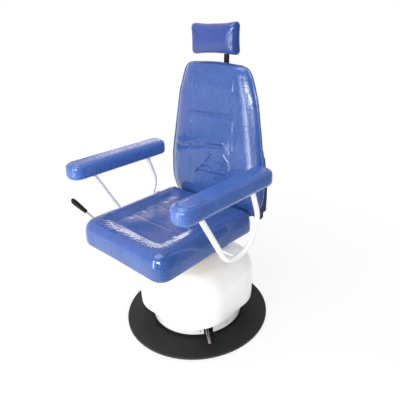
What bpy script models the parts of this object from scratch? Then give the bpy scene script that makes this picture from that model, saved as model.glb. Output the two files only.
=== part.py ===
"""Treatment chair on a round base: lift column, swivelling seat, reclining back and headrest.

Metres, +Z up. The origin is on the floor under the centre of the base plate.
The sitter faces -Y, and +X is the sitter's left.
"""

from math import asin, cos, pi, radians, sin, sqrt, tan

import bmesh
import bpy
from mathutils import Matrix, Vector
from mathutils.bvhtree import BVHTree

for old in list(bpy.data.objects):
    bpy.data.objects.remove(old, do_unlink=True)

# Driving sizes
GAP = 0.0003                     # between pieces that touch
OVERRUN = 0.004                  # how far a cutter passes a face
BASE_RADIUS = 0.331
SHROUD_WIDTH = 0.468
SHROUD_HEIGHT = 0.226
SEAT_WIDTH = 0.490
SEAT_DEPTH = 0.517
SEAT_FRONT_REACH = 0.4135        # from the swivel axis to the seat's front
SEAT_BOTTOM_HEIGHT = 0.478
SEAT_THICKNESS = 0.096
ARM_PAD_LENGTH = 0.504
ARM_PAD_WIDTH = 0.095
ARM_PAD_THICKNESS = 0.0640
ARM_LOOP_HEIGHT = 0.2560
BACK_HEIGHT = 0.655
BACK_LOW_WIDTH = 0.546
BACK_WAIST_WIDTH = 0.443
BACK_TOP_WIDTH = 0.352
BACK_CUSHION_THICKNESS = 0.046
BACK_LEAN_ANGLE = radians(3.2)
HEADREST_WIDTH = 0.250
HEADREST_HEIGHT = 0.125
HEADREST_THICKNESS = 0.046

# Levels from the seat downwards
SEAT_BOARD_THICKNESS = 0.012
SEAT_PLATE_THICKNESS = 0.008
RISER_HEIGHT = 0.1318
SHROUD_WALL = 0.004
TURNTABLE_THICKNESS = 0.009
BEARING_HEIGHT = 0.008
RAM_HEAD_THICKNESS = 0.010
board_top = SEAT_BOTTOM_HEIGHT - GAP
board_bottom = board_top - SEAT_BOARD_THICKNESS
plate_top = board_bottom - GAP
plate_bottom = plate_top - SEAT_PLATE_THICKNESS
riser_top = plate_bottom - GAP
riser_bottom = riser_top - RISER_HEIGHT
shroud_top = riser_bottom - GAP
shroud_bottom = shroud_top - SHROUD_HEIGHT
turntable_top = shroud_top - SHROUD_WALL - GAP
turntable_bottom = turntable_top - TURNTABLE_THICKNESS
bearing_top = turntable_bottom - GAP
bearing_bottom = bearing_top - BEARING_HEIGHT
ram_head_top = bearing_bottom - GAP
ram_head_bottom = ram_head_top - RAM_HEAD_THICKNESS

# Levels from the floor upwards
FLOOR_PAD_THICKNESS = 0.003
BASE_THICKNESS = 0.012
base_bottom = FLOOR_PAD_THICKNESS + GAP
base_top = base_bottom + BASE_THICKNESS
on_base = base_top + GAP

# Places along the chair
seat_front_y = -SEAT_FRONT_REACH
seat_rear_y = seat_front_y + SEAT_DEPTH
seat_side_x = SEAT_WIDTH / 2

# Backrest, measured from its hinge axis: rearwards (n) and up along the back (u)
SHELL_LEAD = 0.0105              # shell's front face ahead of the axis
SHELL_THICKNESS = 0.018
SHELL_RISE = 0.0155              # shell's bottom edge above the axis
SHELL_LOW_WIDTH = 0.494
SHELL_LOW_DEPTH = 0.056
BACK_CUSHION_DROP = 0.012        # cushion's bottom edge below the axis
BACK_SEAT_CLEARANCE = 0.0015
HINGE_RISE = 0.034               # axis above the seat cushion's underside
hinge_y = seat_rear_y + BACK_SEAT_CLEARANCE + BACK_CUSHION_THICKNESS + GAP + SHELL_LEAD
hinge_z = SEAT_BOTTOM_HEIGHT + HINGE_RISE
shell_front_n = -SHELL_LEAD
shell_rear_n = SHELL_THICKNESS - SHELL_LEAD
cushion_rear_n = shell_front_n - GAP
back_bottom_u = -BACK_CUSHION_DROP
back_top_u = back_bottom_u + BACK_HEIGHT

# Counts of facets
ROUND_COUNT = 72
SMALL_ROUND_COUNT = 20
TUBE_SIDES_COUNT = 12
CORNER_COUNT = 6


def material(name, colour, roughness, metallic=0.0):
    made = bpy.data.materials.new(name)
    made.use_nodes = True
    shader = made.node_tree.nodes["Principled BSDF"]
    shader.inputs["Base Color"].default_value = (*colour, 1.0)
    shader.inputs["Roughness"].default_value = roughness
    shader.inputs["Metallic"].default_value = metallic
    made.diffuse_color = (*colour, 1.0)
    return made


def vinyl():
    return material("blue_vinyl", (0.055, 0.125, 0.46), 0.28)


def white_paint():
    return material("white_paint", (0.86, 0.86, 0.86), 0.22)


def black_paint():
    return material("black_paint", (0.022, 0.022, 0.023), 0.5)


def plain_steel():
    return material("plain_steel", (0.42, 0.42, 0.43), 0.4, 1.0)


def bright_steel():
    return material("bright_steel", (0.62, 0.62, 0.63), 0.22, 1.0)


def black_plastic():
    return material("black_plastic", (0.012, 0.012, 0.013), 0.38)


def rubber():
    return material("rubber", (0.02, 0.02, 0.02), 0.85)


def bronze():
    return material("bronze", (0.45, 0.28, 0.12), 0.4, 1.0)


def plywood():
    return material("plywood", (0.55, 0.43, 0.29), 0.65)


def axis_empty(name, place, turn_x=0.0, carried_by=None):
    """An empty on a joint's axis. Its place is in the frame of the empty that carries it."""
    empty = bpy.data.objects.new(name, None)
    bpy.context.collection.objects.link(empty)
    empty.location = place
    empty.rotation_euler = (turn_x, 0.0, 0.0)
    empty.parent = carried_by
    return empty


def make(name, points, faces, finish, axis=None, local=False, sharp_angle=radians(32)):
    """A closed body on an axis empty. Its points are world places unless local is set."""
    shift = Vector(axis.location) if axis is not None and not local else Vector((0, 0, 0))
    mesh = bpy.data.meshes.new(name)
    mesh.from_pydata([tuple(Vector(p) - shift) for p in points], [], faces)
    shaped = bmesh.new()
    shaped.from_mesh(mesh)
    bmesh.ops.recalc_face_normals(shaped, faces=shaped.faces)
    shaped.to_mesh(mesh)
    shaped.free()
    mesh.shade_smooth()
    mesh.set_sharp_from_angle(angle=sharp_angle)
    mesh.materials.append(finish)
    made = bpy.data.objects.new(name, mesh)
    bpy.context.collection.objects.link(made)
    made.parent = axis
    return made


def loft(rings, joined=False):
    """Bridge rings of equal count. Ends are capped unless the last ring joins the first."""
    count = len(rings[0])
    points = [p for ring in rings for p in ring]
    faces = []
    for i in range(len(rings) if joined else len(rings) - 1):
        low = i * count
        high = ((i + 1) % len(rings)) * count
        for k in range(count):
            m = (k + 1) % count
            faces.append((low + k, low + m, high + m, high + k))
    if not joined:
        faces.append(tuple(range(count)))
        faces.append(tuple(range((len(rings) - 1) * count, len(rings) * count)))
    return points, faces


def circle(radius, z, centre=(0.0, 0.0), count=ROUND_COUNT):
    turns = [2 * pi * i / count for i in range(count)]
    return [(centre[0] + radius * cos(t), centre[1] + radius * sin(t), z) for t in turns]


def turned(profile, centre=(0.0, 0.0), count=ROUND_COUNT, joined=False):
    """Rings of a turned piece from (radius, z) pairs; joined makes a ring with a bore."""
    return loft([circle(r, z, centre, count) for r, z in profile], joined)


def rounded_rectangle(half_x, half_y, radius, z, centre=(0.0, 0.0), side_count=1, rear_radius=None):
    """Points round a rectangle with round corners, each side split into side_count."""
    rear = radius if rear_radius is None else rear_radius
    corners = ((1, 1, 0.0, rear), (-1, 1, pi / 2, rear), (-1, -1, pi, radius), (1, -1, 3 * pi / 2, radius))
    outline = []
    for sx, sy, start, bend in corners:
        mid = (sx * (half_x - bend), sy * (half_y - bend))
        for i in range(CORNER_COUNT + 1):
            t = start + pi / 2 * i / CORNER_COUNT
            outline.append(Vector((mid[0] + bend * cos(t), mid[1] + bend * sin(t))))
    split = []
    step = CORNER_COUNT + 1
    for i, p in enumerate(outline):
        split.append(p)
        if i % step == CORNER_COUNT:
            following = outline[(i + 1) % len(outline)]
            split += [p.lerp(following, k / side_count) for k in range(1, side_count)]
    return [(centre[0] + p.x, centre[1] + p.y, z) for p in split]


def rounded_path(corners, radii, steps_count=6):
    """Corner points joined by straight runs, with an arc of the given radius at each corner."""
    corners = [Vector(c) for c in corners]
    path = [corners[0]]
    for before, corner, after, radius in zip(corners, corners[1:], corners[2:], radii):
        into = (corner - before).normalized()
        out = (after - corner).normalized()
        turn = into.angle(out)
        reach = radius * tan(turn / 2)
        start = corner - into * reach
        normal = (out - into * into.dot(out)).normalized()
        centre = start + normal * radius
        for i in range(steps_count + 1):
            t = turn * i / steps_count
            path.append(centre - normal * radius * cos(t) + into * radius * sin(t))
    path.append(corners[-1])
    return path


def swept(path, radius, count=TUBE_SIDES_COUNT):
    """Rings of a round bar along a path."""
    path = [Vector(p) for p in path]
    rings = []
    tangent = (path[1] - path[0]).normalized()
    side = tangent.orthogonal().normalized()
    for i, point in enumerate(path):
        ahead = path[min(i + 1, len(path) - 1)] - path[max(i - 1, 0)]
        tangent = ahead.normalized()
        side = (side - tangent * side.dot(tangent)).normalized()
        other = tangent.cross(side)
        turns = [2 * pi * k / count for k in range(count)]
        rings.append([point + radius * (side * cos(t) + other * sin(t)) for t in turns])
    return rings


def slab(outline, low, high, across="z"):
    """An outline of pairs drawn out along one axis."""
    def place(pair, level):
        a, b = pair
        return {"z": (a, b, level), "y": (a, level, b), "x": (level, a, b)}[across]
    return loft([[place(p, low) for p in outline], [place(p, high) for p in outline]])


def block(low, high):
    outline = [(low[0], low[1]), (high[0], low[1]), (high[0], high[1]), (low[0], high[1])]
    return slab(outline, low[2], high[2])


def cylinder(start, end, radius, count=SMALL_ROUND_COUNT):
    return loft(swept([start, end], radius, count))


def cut(piece, name, solid, axis=None, local=False):
    """Take a solid out of a piece with a Boolean whose cutter stays as a wire guide."""
    cutter = make(name, *solid, black_paint(), axis, local)
    cutter.hide_render = True
    cutter.display_type = "WIRE"
    step = piece.modifiers.new(name, "BOOLEAN")
    step.operation = "DIFFERENCE"
    step.solver = "EXACT"
    step.object = cutter


def bevelled(piece, width, count=2):
    step = piece.modifiers.new("edge_round", "BEVEL")
    step.width = width
    step.segments = count
    step.limit_method = "ANGLE"
    step.angle_limit = radians(40)


def arc(centre, radius, start, end, count):
    turns = [start + (end - start) * i / count for i in range(count + 1)]
    return [(centre[0] + radius * cos(t), centre[1] + radius * sin(t)) for t in turns]


# Floor pad and base plate
FLOOR_PAD_MARGIN = 0.006
BASE_EDGE_ROUND = 0.003


def base():
    pad_radius = BASE_RADIUS - FLOOR_PAD_MARGIN
    make("floor_pad", *turned([(pad_radius, 0), (pad_radius, FLOOR_PAD_THICKNESS)]), rubber())
    inner = BASE_RADIUS - BASE_EDGE_ROUND
    share = 1 - sqrt(0.5)
    low = base_bottom
    rim = [(inner, low), (BASE_RADIUS, low + BASE_EDGE_ROUND)]
    rim.append((BASE_RADIUS, base_top - BASE_EDGE_ROUND))
    rim.append((BASE_RADIUS - BASE_EDGE_ROUND * share, base_top - BASE_EDGE_ROUND * share))
    rim.append((inner, base_top))
    make("base_plate", *turned(rim), black_paint())


# Lower skirt on its seating ring, with the slot of the lock rod
SKIRT_CLEARANCE = 0.022          # from the shroud's inner flat
SKIRT_RING_HEIGHT = 0.012
SKIRT_RING_WIDTH = 0.022
SKIRT_TOP_CLEARANCE = 0.046      # from the shroud's inner top
SKIRT_WALL = 0.003
SLOT_WIDTH = 0.042
SLOT_HEIGHT = 0.075
SLOT_TURN_ANGLE = radians(-32.6)
SKIRT_SCREW_RADIUS = 0.004
SKIRT_SCREW_HEAD = 0.0018
SKIRT_SCREW_RISE = 0.020
SKIRT_SCREW_NEAR_ANGLE = radians(-10.0)   # from the slot's middle
SKIRT_SCREW_FAR_ANGLE = radians(25.5)
skirt_radius = SHROUD_WIDTH / 2 - SHROUD_WALL - SKIRT_CLEARANCE
skirt_top = shroud_top - SHROUD_WALL - SKIRT_TOP_CLEARANCE
skirt_ring_top = on_base + SKIRT_RING_HEIGHT
skirt_bottom = skirt_ring_top + GAP


def skirt():
    inner = skirt_radius - SKIRT_RING_WIDTH
    outer = skirt_radius - GAP
    ring = [(inner, on_base), (outer, on_base), (outer, skirt_ring_top), (inner, skirt_ring_top)]
    make("skirt_ring", *turned(ring, joined=True), black_paint())
    inner = skirt_radius - SKIRT_WALL
    wall = [(inner, skirt_bottom), (skirt_radius, skirt_bottom), (skirt_radius, skirt_top),
            (inner, skirt_top)]
    piece = make("lower_skirt", *turned(wall, joined=True), white_paint())
    slot = block((inner - OVERRUN, -SLOT_WIDTH / 2, skirt_bottom - OVERRUN),
                 (skirt_radius + OVERRUN, SLOT_WIDTH / 2, skirt_bottom + SLOT_HEIGHT))
    turn = Matrix.Rotation(SLOT_TURN_ANGLE, 3, "Z")
    cut(piece, "skirt_slot", ([turn @ Vector(p) for p in slot[0]], slot[1]))
    pair = (SKIRT_SCREW_NEAR_ANGLE, SKIRT_SCREW_FAR_ANGLE)
    for i, place in enumerate(pair + tuple(pi + t for t in pair)):
        t = SLOT_TURN_ANGLE + place
        out = Vector((cos(t), sin(t), 0))
        foot = out * (skirt_radius + GAP) + Vector((0, 0, skirt_bottom + SKIRT_SCREW_RISE))
        tip = foot + out * SKIRT_SCREW_HEAD
        rings = swept([foot, foot.lerp(tip, 0.6), tip], SKIRT_SCREW_RADIUS, 10)
        rings[2] = [tip + (Vector(p) - tip) * 0.6 for p in rings[2]]
        make(f"skirt_screw_{i}", *loft(rings), bright_steel())


# Lift column: cylinder, bush and bolts stand on the base, the ram slides in them
COLUMN_RADIUS = 0.045
COLUMN_WALL = 0.010
COLUMN_FLANGE_RADIUS = 0.088
COLUMN_FLANGE_THICKNESS = 0.010
COLUMN_HEAD_CLEARANCE = 0.036    # from the bush's lip to the ram's head
COLUMN_BOLT_RADIUS = 0.0065
COLUMN_BOLT_HEAD = 0.0055
COLUMN_BOLT_COUNT = 4
BUSH_LIP_THICKNESS = 0.005
BUSH_LIP_MARGIN = 0.003
BUSH_DEPTH = 0.030
RAM_RADIUS = 0.022
RAM_HEAD_RADIUS = 0.056
PISTON_HEIGHT = 0.016
PISTON_CLEARANCE = 0.008
column_inner = COLUMN_RADIUS - COLUMN_WALL
bush_top = ram_head_bottom - COLUMN_HEAD_CLEARANCE
column_top = bush_top - BUSH_LIP_THICKNESS - GAP
flange_top = on_base + COLUMN_FLANGE_THICKNESS
ram_foot = flange_top + PISTON_CLEARANCE


def column():
    shape = [(column_inner, on_base), (COLUMN_FLANGE_RADIUS, on_base),
             (COLUMN_FLANGE_RADIUS, flange_top), (COLUMN_RADIUS, flange_top),
             (COLUMN_RADIUS, column_top), (column_inner, column_top)]
    make("column_cylinder", *turned(shape, count=48, joined=True), plain_steel())
    bore = RAM_RADIUS + GAP
    body = column_inner - GAP
    lip = COLUMN_RADIUS - BUSH_LIP_MARGIN
    lip_low = column_top + GAP
    shape = [(bore, column_top - BUSH_DEPTH), (body, column_top - BUSH_DEPTH), (body, lip_low),
             (lip, lip_low), (lip, bush_top), (bore, bush_top)]
    make("guide_bush", *turned(shape, count=36, joined=True), bronze())
    circle_radius = (COLUMN_RADIUS + COLUMN_FLANGE_RADIUS) / 2
    low = flange_top + GAP
    for i in range(COLUMN_BOLT_COUNT):
        t = SLOT_TURN_ANGLE + 2 * pi * (i + 0.5) / COLUMN_BOLT_COUNT
        centre = (circle_radius * cos(t), circle_radius * sin(t))
        shape = [(COLUMN_BOLT_RADIUS, low), (COLUMN_BOLT_RADIUS, low + COLUMN_BOLT_HEAD)]
        make(f"column_bolt_{i}", *turned(shape, centre, 6), plain_steel())


def ram(axis):
    edge = RAM_RADIUS * 0.1
    shape = [(RAM_RADIUS, ram_foot), (RAM_RADIUS, ram_head_bottom), (RAM_HEAD_RADIUS - edge, ram_head_bottom),
             (RAM_HEAD_RADIUS, ram_head_bottom + edge), (RAM_HEAD_RADIUS, ram_head_top)]
    make("lift_ram", *turned(shape, count=36), bright_steel(), axis)
    bore = RAM_RADIUS + GAP
    outer = column_inner - GAP
    top = ram_foot + PISTON_HEIGHT
    ring = [(bore, ram_foot), (outer, ram_foot), (outer, top), (bore, top)]
    make("ram_piston", *turned(ring, count=36, joined=True), black_plastic(), axis)
    bore = RAM_HEAD_RADIUS / 2
    outer = RAM_HEAD_RADIUS - GAP
    waist = BEARING_HEIGHT / 2
    ring = [(bore, bearing_bottom), (outer, bearing_bottom), (outer - edge, bearing_bottom + waist),
            (outer, bearing_top), (bore, bearing_top)]
    make("swivel_bearing", *turned(ring, count=36, joined=True), bright_steel(), axis)


# Swivel lock: a cam on an upright stud beside the column, moved by a rod through the slot
ROD_RADIUS = 0.0065
ROD_SIDE_CLEARANCE = 0.005       # from the slot's end
ROD_SKIRT_HEIGHT = 0.061         # rod's centre where it leaves the skirt
ROD_TIP_HEIGHT = 0.031
ROD_PROUD_LENGTH = 0.070
CAM_CLEARANCE = 0.0005
CAM_RADIUS = 0.029
CAM_THICKNESS = 0.030
STUD_RADIUS = 0.007
STUD_PROUD = 0.004
rod_turn = SLOT_TURN_ANGLE - asin((SLOT_WIDTH / 2 - ROD_RADIUS - ROD_SIDE_CLEARANCE) / skirt_radius)
rod_way = Vector((cos(rod_turn), sin(rod_turn), 0))
stud_reach = COLUMN_RADIUS + CAM_CLEARANCE + CAM_RADIUS
rod_fall = (ROD_SKIRT_HEIGHT - ROD_TIP_HEIGHT) / ROD_PROUD_LENGTH
cam_edge_reach = stud_reach + CAM_RADIUS
rod_root_height = ROD_SKIRT_HEIGHT + rod_fall * (skirt_radius - cam_edge_reach)
stud_place = rod_way * stud_reach


def lock(axis):
    centre = (stud_place.x, stud_place.y)
    cam_low = rod_root_height - CAM_THICKNESS / 2
    cam_high = cam_low + CAM_THICKNESS
    post = STUD_RADIUS * 1.8
    shape = [(post, flange_top + GAP), (post, cam_low - GAP), (STUD_RADIUS, cam_low - GAP),
             (STUD_RADIUS, cam_high + STUD_PROUD)]
    make("lock_stud", *turned(shape, centre, SMALL_ROUND_COUNT), plain_steel())
    bore = STUD_RADIUS + GAP
    shape = [(bore, cam_low), (CAM_RADIUS, cam_low), (CAM_RADIUS, cam_high), (bore, cam_high)]
    make("lock_cam", *turned(shape, centre, 36, joined=True), plain_steel(), axis)
    start = rod_way * (cam_edge_reach + GAP + ROD_RADIUS * rod_fall) + Vector((0, 0, rod_root_height))
    tip = rod_way * (skirt_radius + ROD_PROUD_LENGTH) + Vector((0, 0, ROD_TIP_HEIGHT))
    along = (tip - start).normalized()
    chamfer = ROD_RADIUS * 0.25
    rings = swept([start, tip - along * chamfer, tip], ROD_RADIUS, 16)
    rings[2] = [tip + (Vector(p) - tip) * 0.75 for p in rings[2]]
    make("lock_rod", *loft(rings), bright_steel(), axis)


# Turntable, shroud, risers and seat plate
TURNTABLE_RADIUS = 0.074
SHROUD_CORNER_RADIUS = 0.163
SHROUD_SHOULDER_RADIUS = 0.085
SHROUD_HOLE_RADIUS = 0.030
SHROUD_DRAFT = 0.003             # narrower at the bottom edge on each side
SHROUD_DRAFT_HEIGHT = 0.070
RISER_LENGTH = 0.240
RISER_SPREAD = 0.150             # over the outside of both webs
RISER_FLANGE = 0.030
RISER_GAUGE = 0.004
SEAT_PLATE_WIDTH = 0.220
SEAT_PLATE_FRONT_SETBACK = 0.1135    # from the seat's front
SEAT_PLATE_REAR_SETBACK = 0.0185     # from the seat's rear
SEAT_PLATE_ARM_WIDTH = 0.044
SEAT_PLATE_CORNER = 0.020
seat_plate_rear_y = seat_rear_y - SEAT_PLATE_REAR_SETBACK


def shroud_rings(shrink):
    """Rings up one skin of the shroud, from the bottom edge to the hole at the top."""
    half = SHROUD_WIDTH / 2 - shrink
    corner = SHROUD_CORNER_RADIUS - shrink
    shoulder = SHROUD_SHOULDER_RADIUS - shrink
    top = shroud_top - shrink
    rings = [rounded_rectangle(half - SHROUD_DRAFT, half - SHROUD_DRAFT, corner - SHROUD_DRAFT,
                               shroud_bottom, side_count=4)]
    level = shroud_bottom + SHROUD_DRAFT_HEIGHT
    rings.append(rounded_rectangle(half, half, corner, level, side_count=4))
    steps = 7
    for i in range(steps + 1):
        t = pi / 2 * i / steps
        inset = shoulder * (1 - cos(t))
        level = top - shoulder + shoulder * sin(t)
        rings.append(rounded_rectangle(half - inset, half - inset, corner - inset, level, side_count=4))
    hole = SHROUD_HOLE_RADIUS
    rings.append(rounded_rectangle(hole, hole, hole * 0.9, top, side_count=4))
    return rings


def carriage(axis):
    edge = TURNTABLE_THICKNESS * 0.2
    shape = [(TURNTABLE_RADIUS, turntable_bottom), (TURNTABLE_RADIUS, turntable_top - edge),
             (TURNTABLE_RADIUS - edge, turntable_top)]
    make("turntable", *turned(shape, count=48), plain_steel(), axis)
    outside = shroud_rings(0)
    inside = shroud_rings(SHROUD_WALL)
    make("shroud", *loft(outside + inside[::-1], joined=True), white_paint(), axis)
    for side, way in (("left", 1), ("right", -1)):
        web = way * RISER_SPREAD / 2
        skin = web - way * RISER_GAUGE
        lip = web - way * RISER_FLANGE
        low = riser_bottom
        high = riser_top
        outline = [(web, low), (web, high), (lip, high), (lip, high - RISER_GAUGE),
                   (skin, high - RISER_GAUGE), (skin, low + RISER_GAUGE), (lip, low + RISER_GAUGE), (lip, low)]
        solid = slab(outline, -RISER_LENGTH / 2, RISER_LENGTH / 2, "y")
        make("riser_channel_" + side, *solid, white_paint(), axis)


# Arm loops of bent tube, welded to the arms of the seat plate
LOOP_TUBE_RADIUS = 0.011
LOOP_SIDE_GAP = 0.066            # from the seat's side to the tube's centre
LOOP_FRONT_SETBACK = 0.111       # tube from the arm pad's front
LOOP_REAR_SETBACK = 0.0995       # tube from the arm pad's rear
LOOP_FOOT_FRONT = 0.141          # corner of the foot ahead of the swivel axis
LOOP_FOOT_REAR = 0.003           # corner of the foot behind the swivel axis
LOOP_KNEE_REACH = 0.054          # rear knee behind the swivel axis
LOOP_KNEE_RISE = 0.1276
LOOP_FOOT_RADIUS = 0.098
LOOP_KNEE_RADIUS = 0.087
ARM_PAD_OVERHANG = 0.0060        # pad's rear end behind the seat
ARM_STRAP_THICKNESS = 0.004
ARM_STRAP_WIDTH = 0.030
ARM_STRAP_MARGIN = 0.030         # strap beyond the tube's centres
loop_x = seat_side_x + LOOP_SIDE_GAP
loop_foot_z = plate_bottom
loop_top_z = loop_foot_z + ARM_LOOP_HEIGHT
pad_rear_y = seat_rear_y + ARM_PAD_OVERHANG
pad_front_y = pad_rear_y - ARM_PAD_LENGTH
loop_front_y = pad_front_y + LOOP_FRONT_SETBACK
loop_rear_y = pad_rear_y - LOOP_REAR_SETBACK
strap_bottom = loop_top_z + GAP
strap_top = strap_bottom + ARM_STRAP_THICKNESS
arm_pad_bottom = strap_top + GAP


def loop_path(x):
    corners = [(x, loop_front_y, loop_top_z), (x, -LOOP_FOOT_FRONT, loop_foot_z),
               (x, LOOP_FOOT_REAR, loop_foot_z), (x, LOOP_KNEE_REACH, loop_foot_z + LOOP_KNEE_RISE),
               (x, loop_rear_y, loop_top_z)]
    return rounded_path(corners, (LOOP_FOOT_RADIUS, LOOP_FOOT_RADIUS, LOOP_KNEE_RADIUS))


def levelled(ring, along, level):
    """Slide a ring's points along the bar until they lie at one height."""
    return [Vector(p) + along * ((level - p[2]) / along.z) for p in ring]


def arms(axis):
    for side, way in (("left", 1), ("right", -1)):
        path = loop_path(way * loop_x)
        rings = swept(path, LOOP_TUBE_RADIUS)
        rings[0] = levelled(rings[0], path[1] - path[0], loop_top_z)
        rings[-1] = levelled(rings[-1], path[-1] - path[-2], loop_top_z)
        make("arm_loop_" + side, *loft(rings), white_paint(), axis)
        half = ARM_STRAP_WIDTH / 2
        low = (way * loop_x - half, loop_front_y - ARM_STRAP_MARGIN, strap_bottom)
        high = (way * loop_x + half, loop_rear_y + ARM_STRAP_MARGIN, strap_top)
        make("arm_strap_" + side, *block(low, high), plain_steel(), axis)


def seat_plate(axis):
    """A cross-shaped plate whose side arms end in saddles round the loops' feet."""
    half = SEAT_PLATE_WIDTH / 2
    mid = (LOOP_FOOT_REAR - LOOP_FOOT_FRONT) / 2
    arm = SEAT_PLATE_ARM_WIDTH / 2
    reach = loop_x - LOOP_TUBE_RADIUS * 0.4
    corner = SEAT_PLATE_CORNER
    front = seat_front_y + SEAT_PLATE_FRONT_SETBACK
    right = [(half - corner, front), (half, front + corner),
             (half, mid - arm - corner), (half + corner, mid - arm), (reach, mid - arm), (reach, mid + arm),
             (half + corner, mid + arm), (half, mid + arm + corner), (half, seat_plate_rear_y)]
    outline = right + [(-x, y) for x, y in reversed(right)]
    piece = make("seat_plate", *slab(outline, plate_bottom, plate_top), white_paint(), axis)
    for side, way in (("left", 1), ("right", -1)):
        saddle = swept(loop_path(way * loop_x), LOOP_TUBE_RADIUS + GAP)
        cut(piece, "saddle_" + side, loft(saddle), axis)


# Upholstery: rings of an outline that move in and up give the crown and the drawn-in sides
def drawn_in(ring, half_x, half_y, pull, centre=(0.0, 0.0)):
    """Pull each side in between its corners."""
    shaped = []
    for x, y, z in ring:
        a = (x - centre[0]) / half_x
        b = (y - centre[1]) / half_y
        shaped.append((x - pull * a * (1 - min(1, b * b)), y - pull * b * (1 - min(1, a * a)), z))
    return shaped


def surface_finder(piece):
    """A tree of the piece's own mesh, for laying seams on it."""
    shaped = bmesh.new()
    shaped.from_mesh(piece.data)
    tree = BVHTree.FromBMesh(shaped)
    shaped.free()
    return tree


def channel(piece, name, path, way, radius, depth, axis, reach):
    """Cut a round-bottomed sewn channel along a path laid on the piece from outside."""
    tree = surface_finder(piece)
    laid = []
    for point in path:
        start = Vector(point) - Vector(way) * reach
        hit = tree.ray_cast(start, Vector(way))[0]
        laid.append(hit - Vector(way) * (radius - depth))
    cut(piece, name, loft(swept(laid, radius, 8)), axis, True)


SEAT_CORNER_RADIUS = 0.055
SEAT_REAR_CORNER_RADIUS = 0.022
SEAT_SIDE_PULL = 0.004
SEAT_BOARD_MARGIN = 0.015
SEAT_PANEL_DROP = 0.010
SEAT_SEAM_RADIUS = 0.008
SEAT_SEAM_DEPTH = 0.005
# inset from the side (share of half the width) and height (share of the thickness)
SEAT_RING_SHARES = ((0.020, 0.0), (0.0, 0.14), (0.0, 0.45), (0.012, 0.66), (0.050, 0.85), (0.110, 0.955),
                    (0.190, 1.0), (0.290, 0.985), (0.350, 0.945), (0.385, 0.905), (0.430, 0.915),
                    (0.600, 0.935), (0.800, 0.945), (0.960, 0.947))
SEAT_BOLSTER_SHARE = 0.62        # of the depth, from the front, with the full bolster
SEAT_SEAM_SHARES = (0.30, 0.44, 0.68)   # of the depth, from the front


def seat(axis):
    centre = (0.0, (seat_front_y + seat_rear_y) / 2)
    half_y = SEAT_DEPTH / 2
    margin = SEAT_BOARD_MARGIN
    board = [rounded_rectangle(seat_side_x - margin, half_y - margin, SEAT_CORNER_RADIUS - margin, z, centre,
                               rear_radius=SEAT_REAR_CORNER_RADIUS - margin)
             for z in (board_bottom, board_top)]
    make("seat_board", *loft(board), plywood(), axis)
    rings = []
    for inset_share, height_share in SEAT_RING_SHARES:
        inset = inset_share * seat_side_x
        fit = seat_side_x - inset
        corner = min(fit, max(SEAT_CORNER_RADIUS - inset * 0.6, SEAT_CORNER_RADIUS * 0.15))
        rear_corner = min(fit, max(SEAT_REAR_CORNER_RADIUS - inset * 0.2, SEAT_CORNER_RADIUS * 0.15))
        ring = rounded_rectangle(fit, half_y - inset, corner, SEAT_BOTTOM_HEIGHT, centre, 8, rear_corner)
        ring = drawn_in(ring, seat_side_x, half_y, SEAT_SIDE_PULL * (1 - inset_share), centre)
        shaped = []
        for x, y, z in ring:
            share = (y - seat_front_y) / SEAT_DEPTH
            fade = min(1.0, max(0.0, (share - SEAT_BOLSTER_SHARE) / (1 - SEAT_BOLSTER_SHARE)))
            level = height_share
            if inset_share > 0.10:
                level = height_share + (0.955 - height_share) * fade
            shaped.append((x, y, z + level * SEAT_THICKNESS))
        rings.append(shaped)
    piece = make("seat_cushion", *loft(rings), vinyl(), axis)
    panel = seat_side_x * (1 - 0.43)
    for i, share in enumerate(SEAT_SEAM_SHARES):
        y = seat_front_y + share * SEAT_DEPTH
        bow = SEAT_DEPTH * 0.035
        steps = 10
        path = []
        for k in range(steps + 1):
            a = 2 * k / steps - 1
            path.append((a * panel, y + bow * a * a, 0.0))
        channel(piece, f"seat_seam_{i}", path, (0, 0, -1), SEAT_SEAM_RADIUS, SEAT_SEAM_DEPTH, axis,
                SEAT_BOTTOM_HEIGHT + 2 * SEAT_THICKNESS)


ARM_PAD_SIDE_PULL = 0.0015
ARM_PAD_END_SHARE = 0.94         # radius of the ends against half the width
ARM_PAD_RING_SHARES = ((0.24, 0.0), (0.07, 0.09), (0.0, 0.24), (0.0, 0.68), (0.05, 0.84), (0.17, 0.94),
                       (0.36, 0.985), (0.62, 1.0), (0.86, 1.0))


def arm_pads(axis):
    half_x = ARM_PAD_WIDTH / 2
    half_y = ARM_PAD_LENGTH / 2
    for side, way in (("left", 1), ("right", -1)):
        centre = (way * loop_x, (pad_front_y + pad_rear_y) / 2)
        rings = []
        for inset_share, height_share in ARM_PAD_RING_SHARES:
            inset = inset_share * half_x
            level = arm_pad_bottom + height_share * ARM_PAD_THICKNESS
            wide = half_x - inset
            ring = rounded_rectangle(wide, half_y - inset, wide * ARM_PAD_END_SHARE, level, centre, 6)
            rings.append(drawn_in(ring, half_x, half_y, ARM_PAD_SIDE_PULL * (1 - inset_share), centre))
        make("arm_pad_" + side, *loft(rings), vinyl(), axis)


# Hinge of the backrest: two arms under the seat board rise behind the cushion and carry a shaft
SHAFT_RADIUS = 0.006
SHAFT_PROUD = 0.002
HINGE_ARM_SPREAD = 0.180         # between the middles of the arms
HINGE_ARM_THICKNESS = 0.008
HINGE_ARM_DEPTH = 0.020
HINGE_ARM_LENGTH = 0.085         # under the seat plate
HINGE_ARM_CORNER = 0.012
HINGE_EYE_RADIUS = 0.0101
EAR_THICKNESS = 0.014
EAR_INSET = 0.004                # ear's outer side from the shell's side
EAR_DEPTH = 0.024                # behind the axis
EAR_DROP = 0.011                 # below the axis
ear_outer_x = SHELL_LOW_WIDTH / 2 - EAR_INSET


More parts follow.
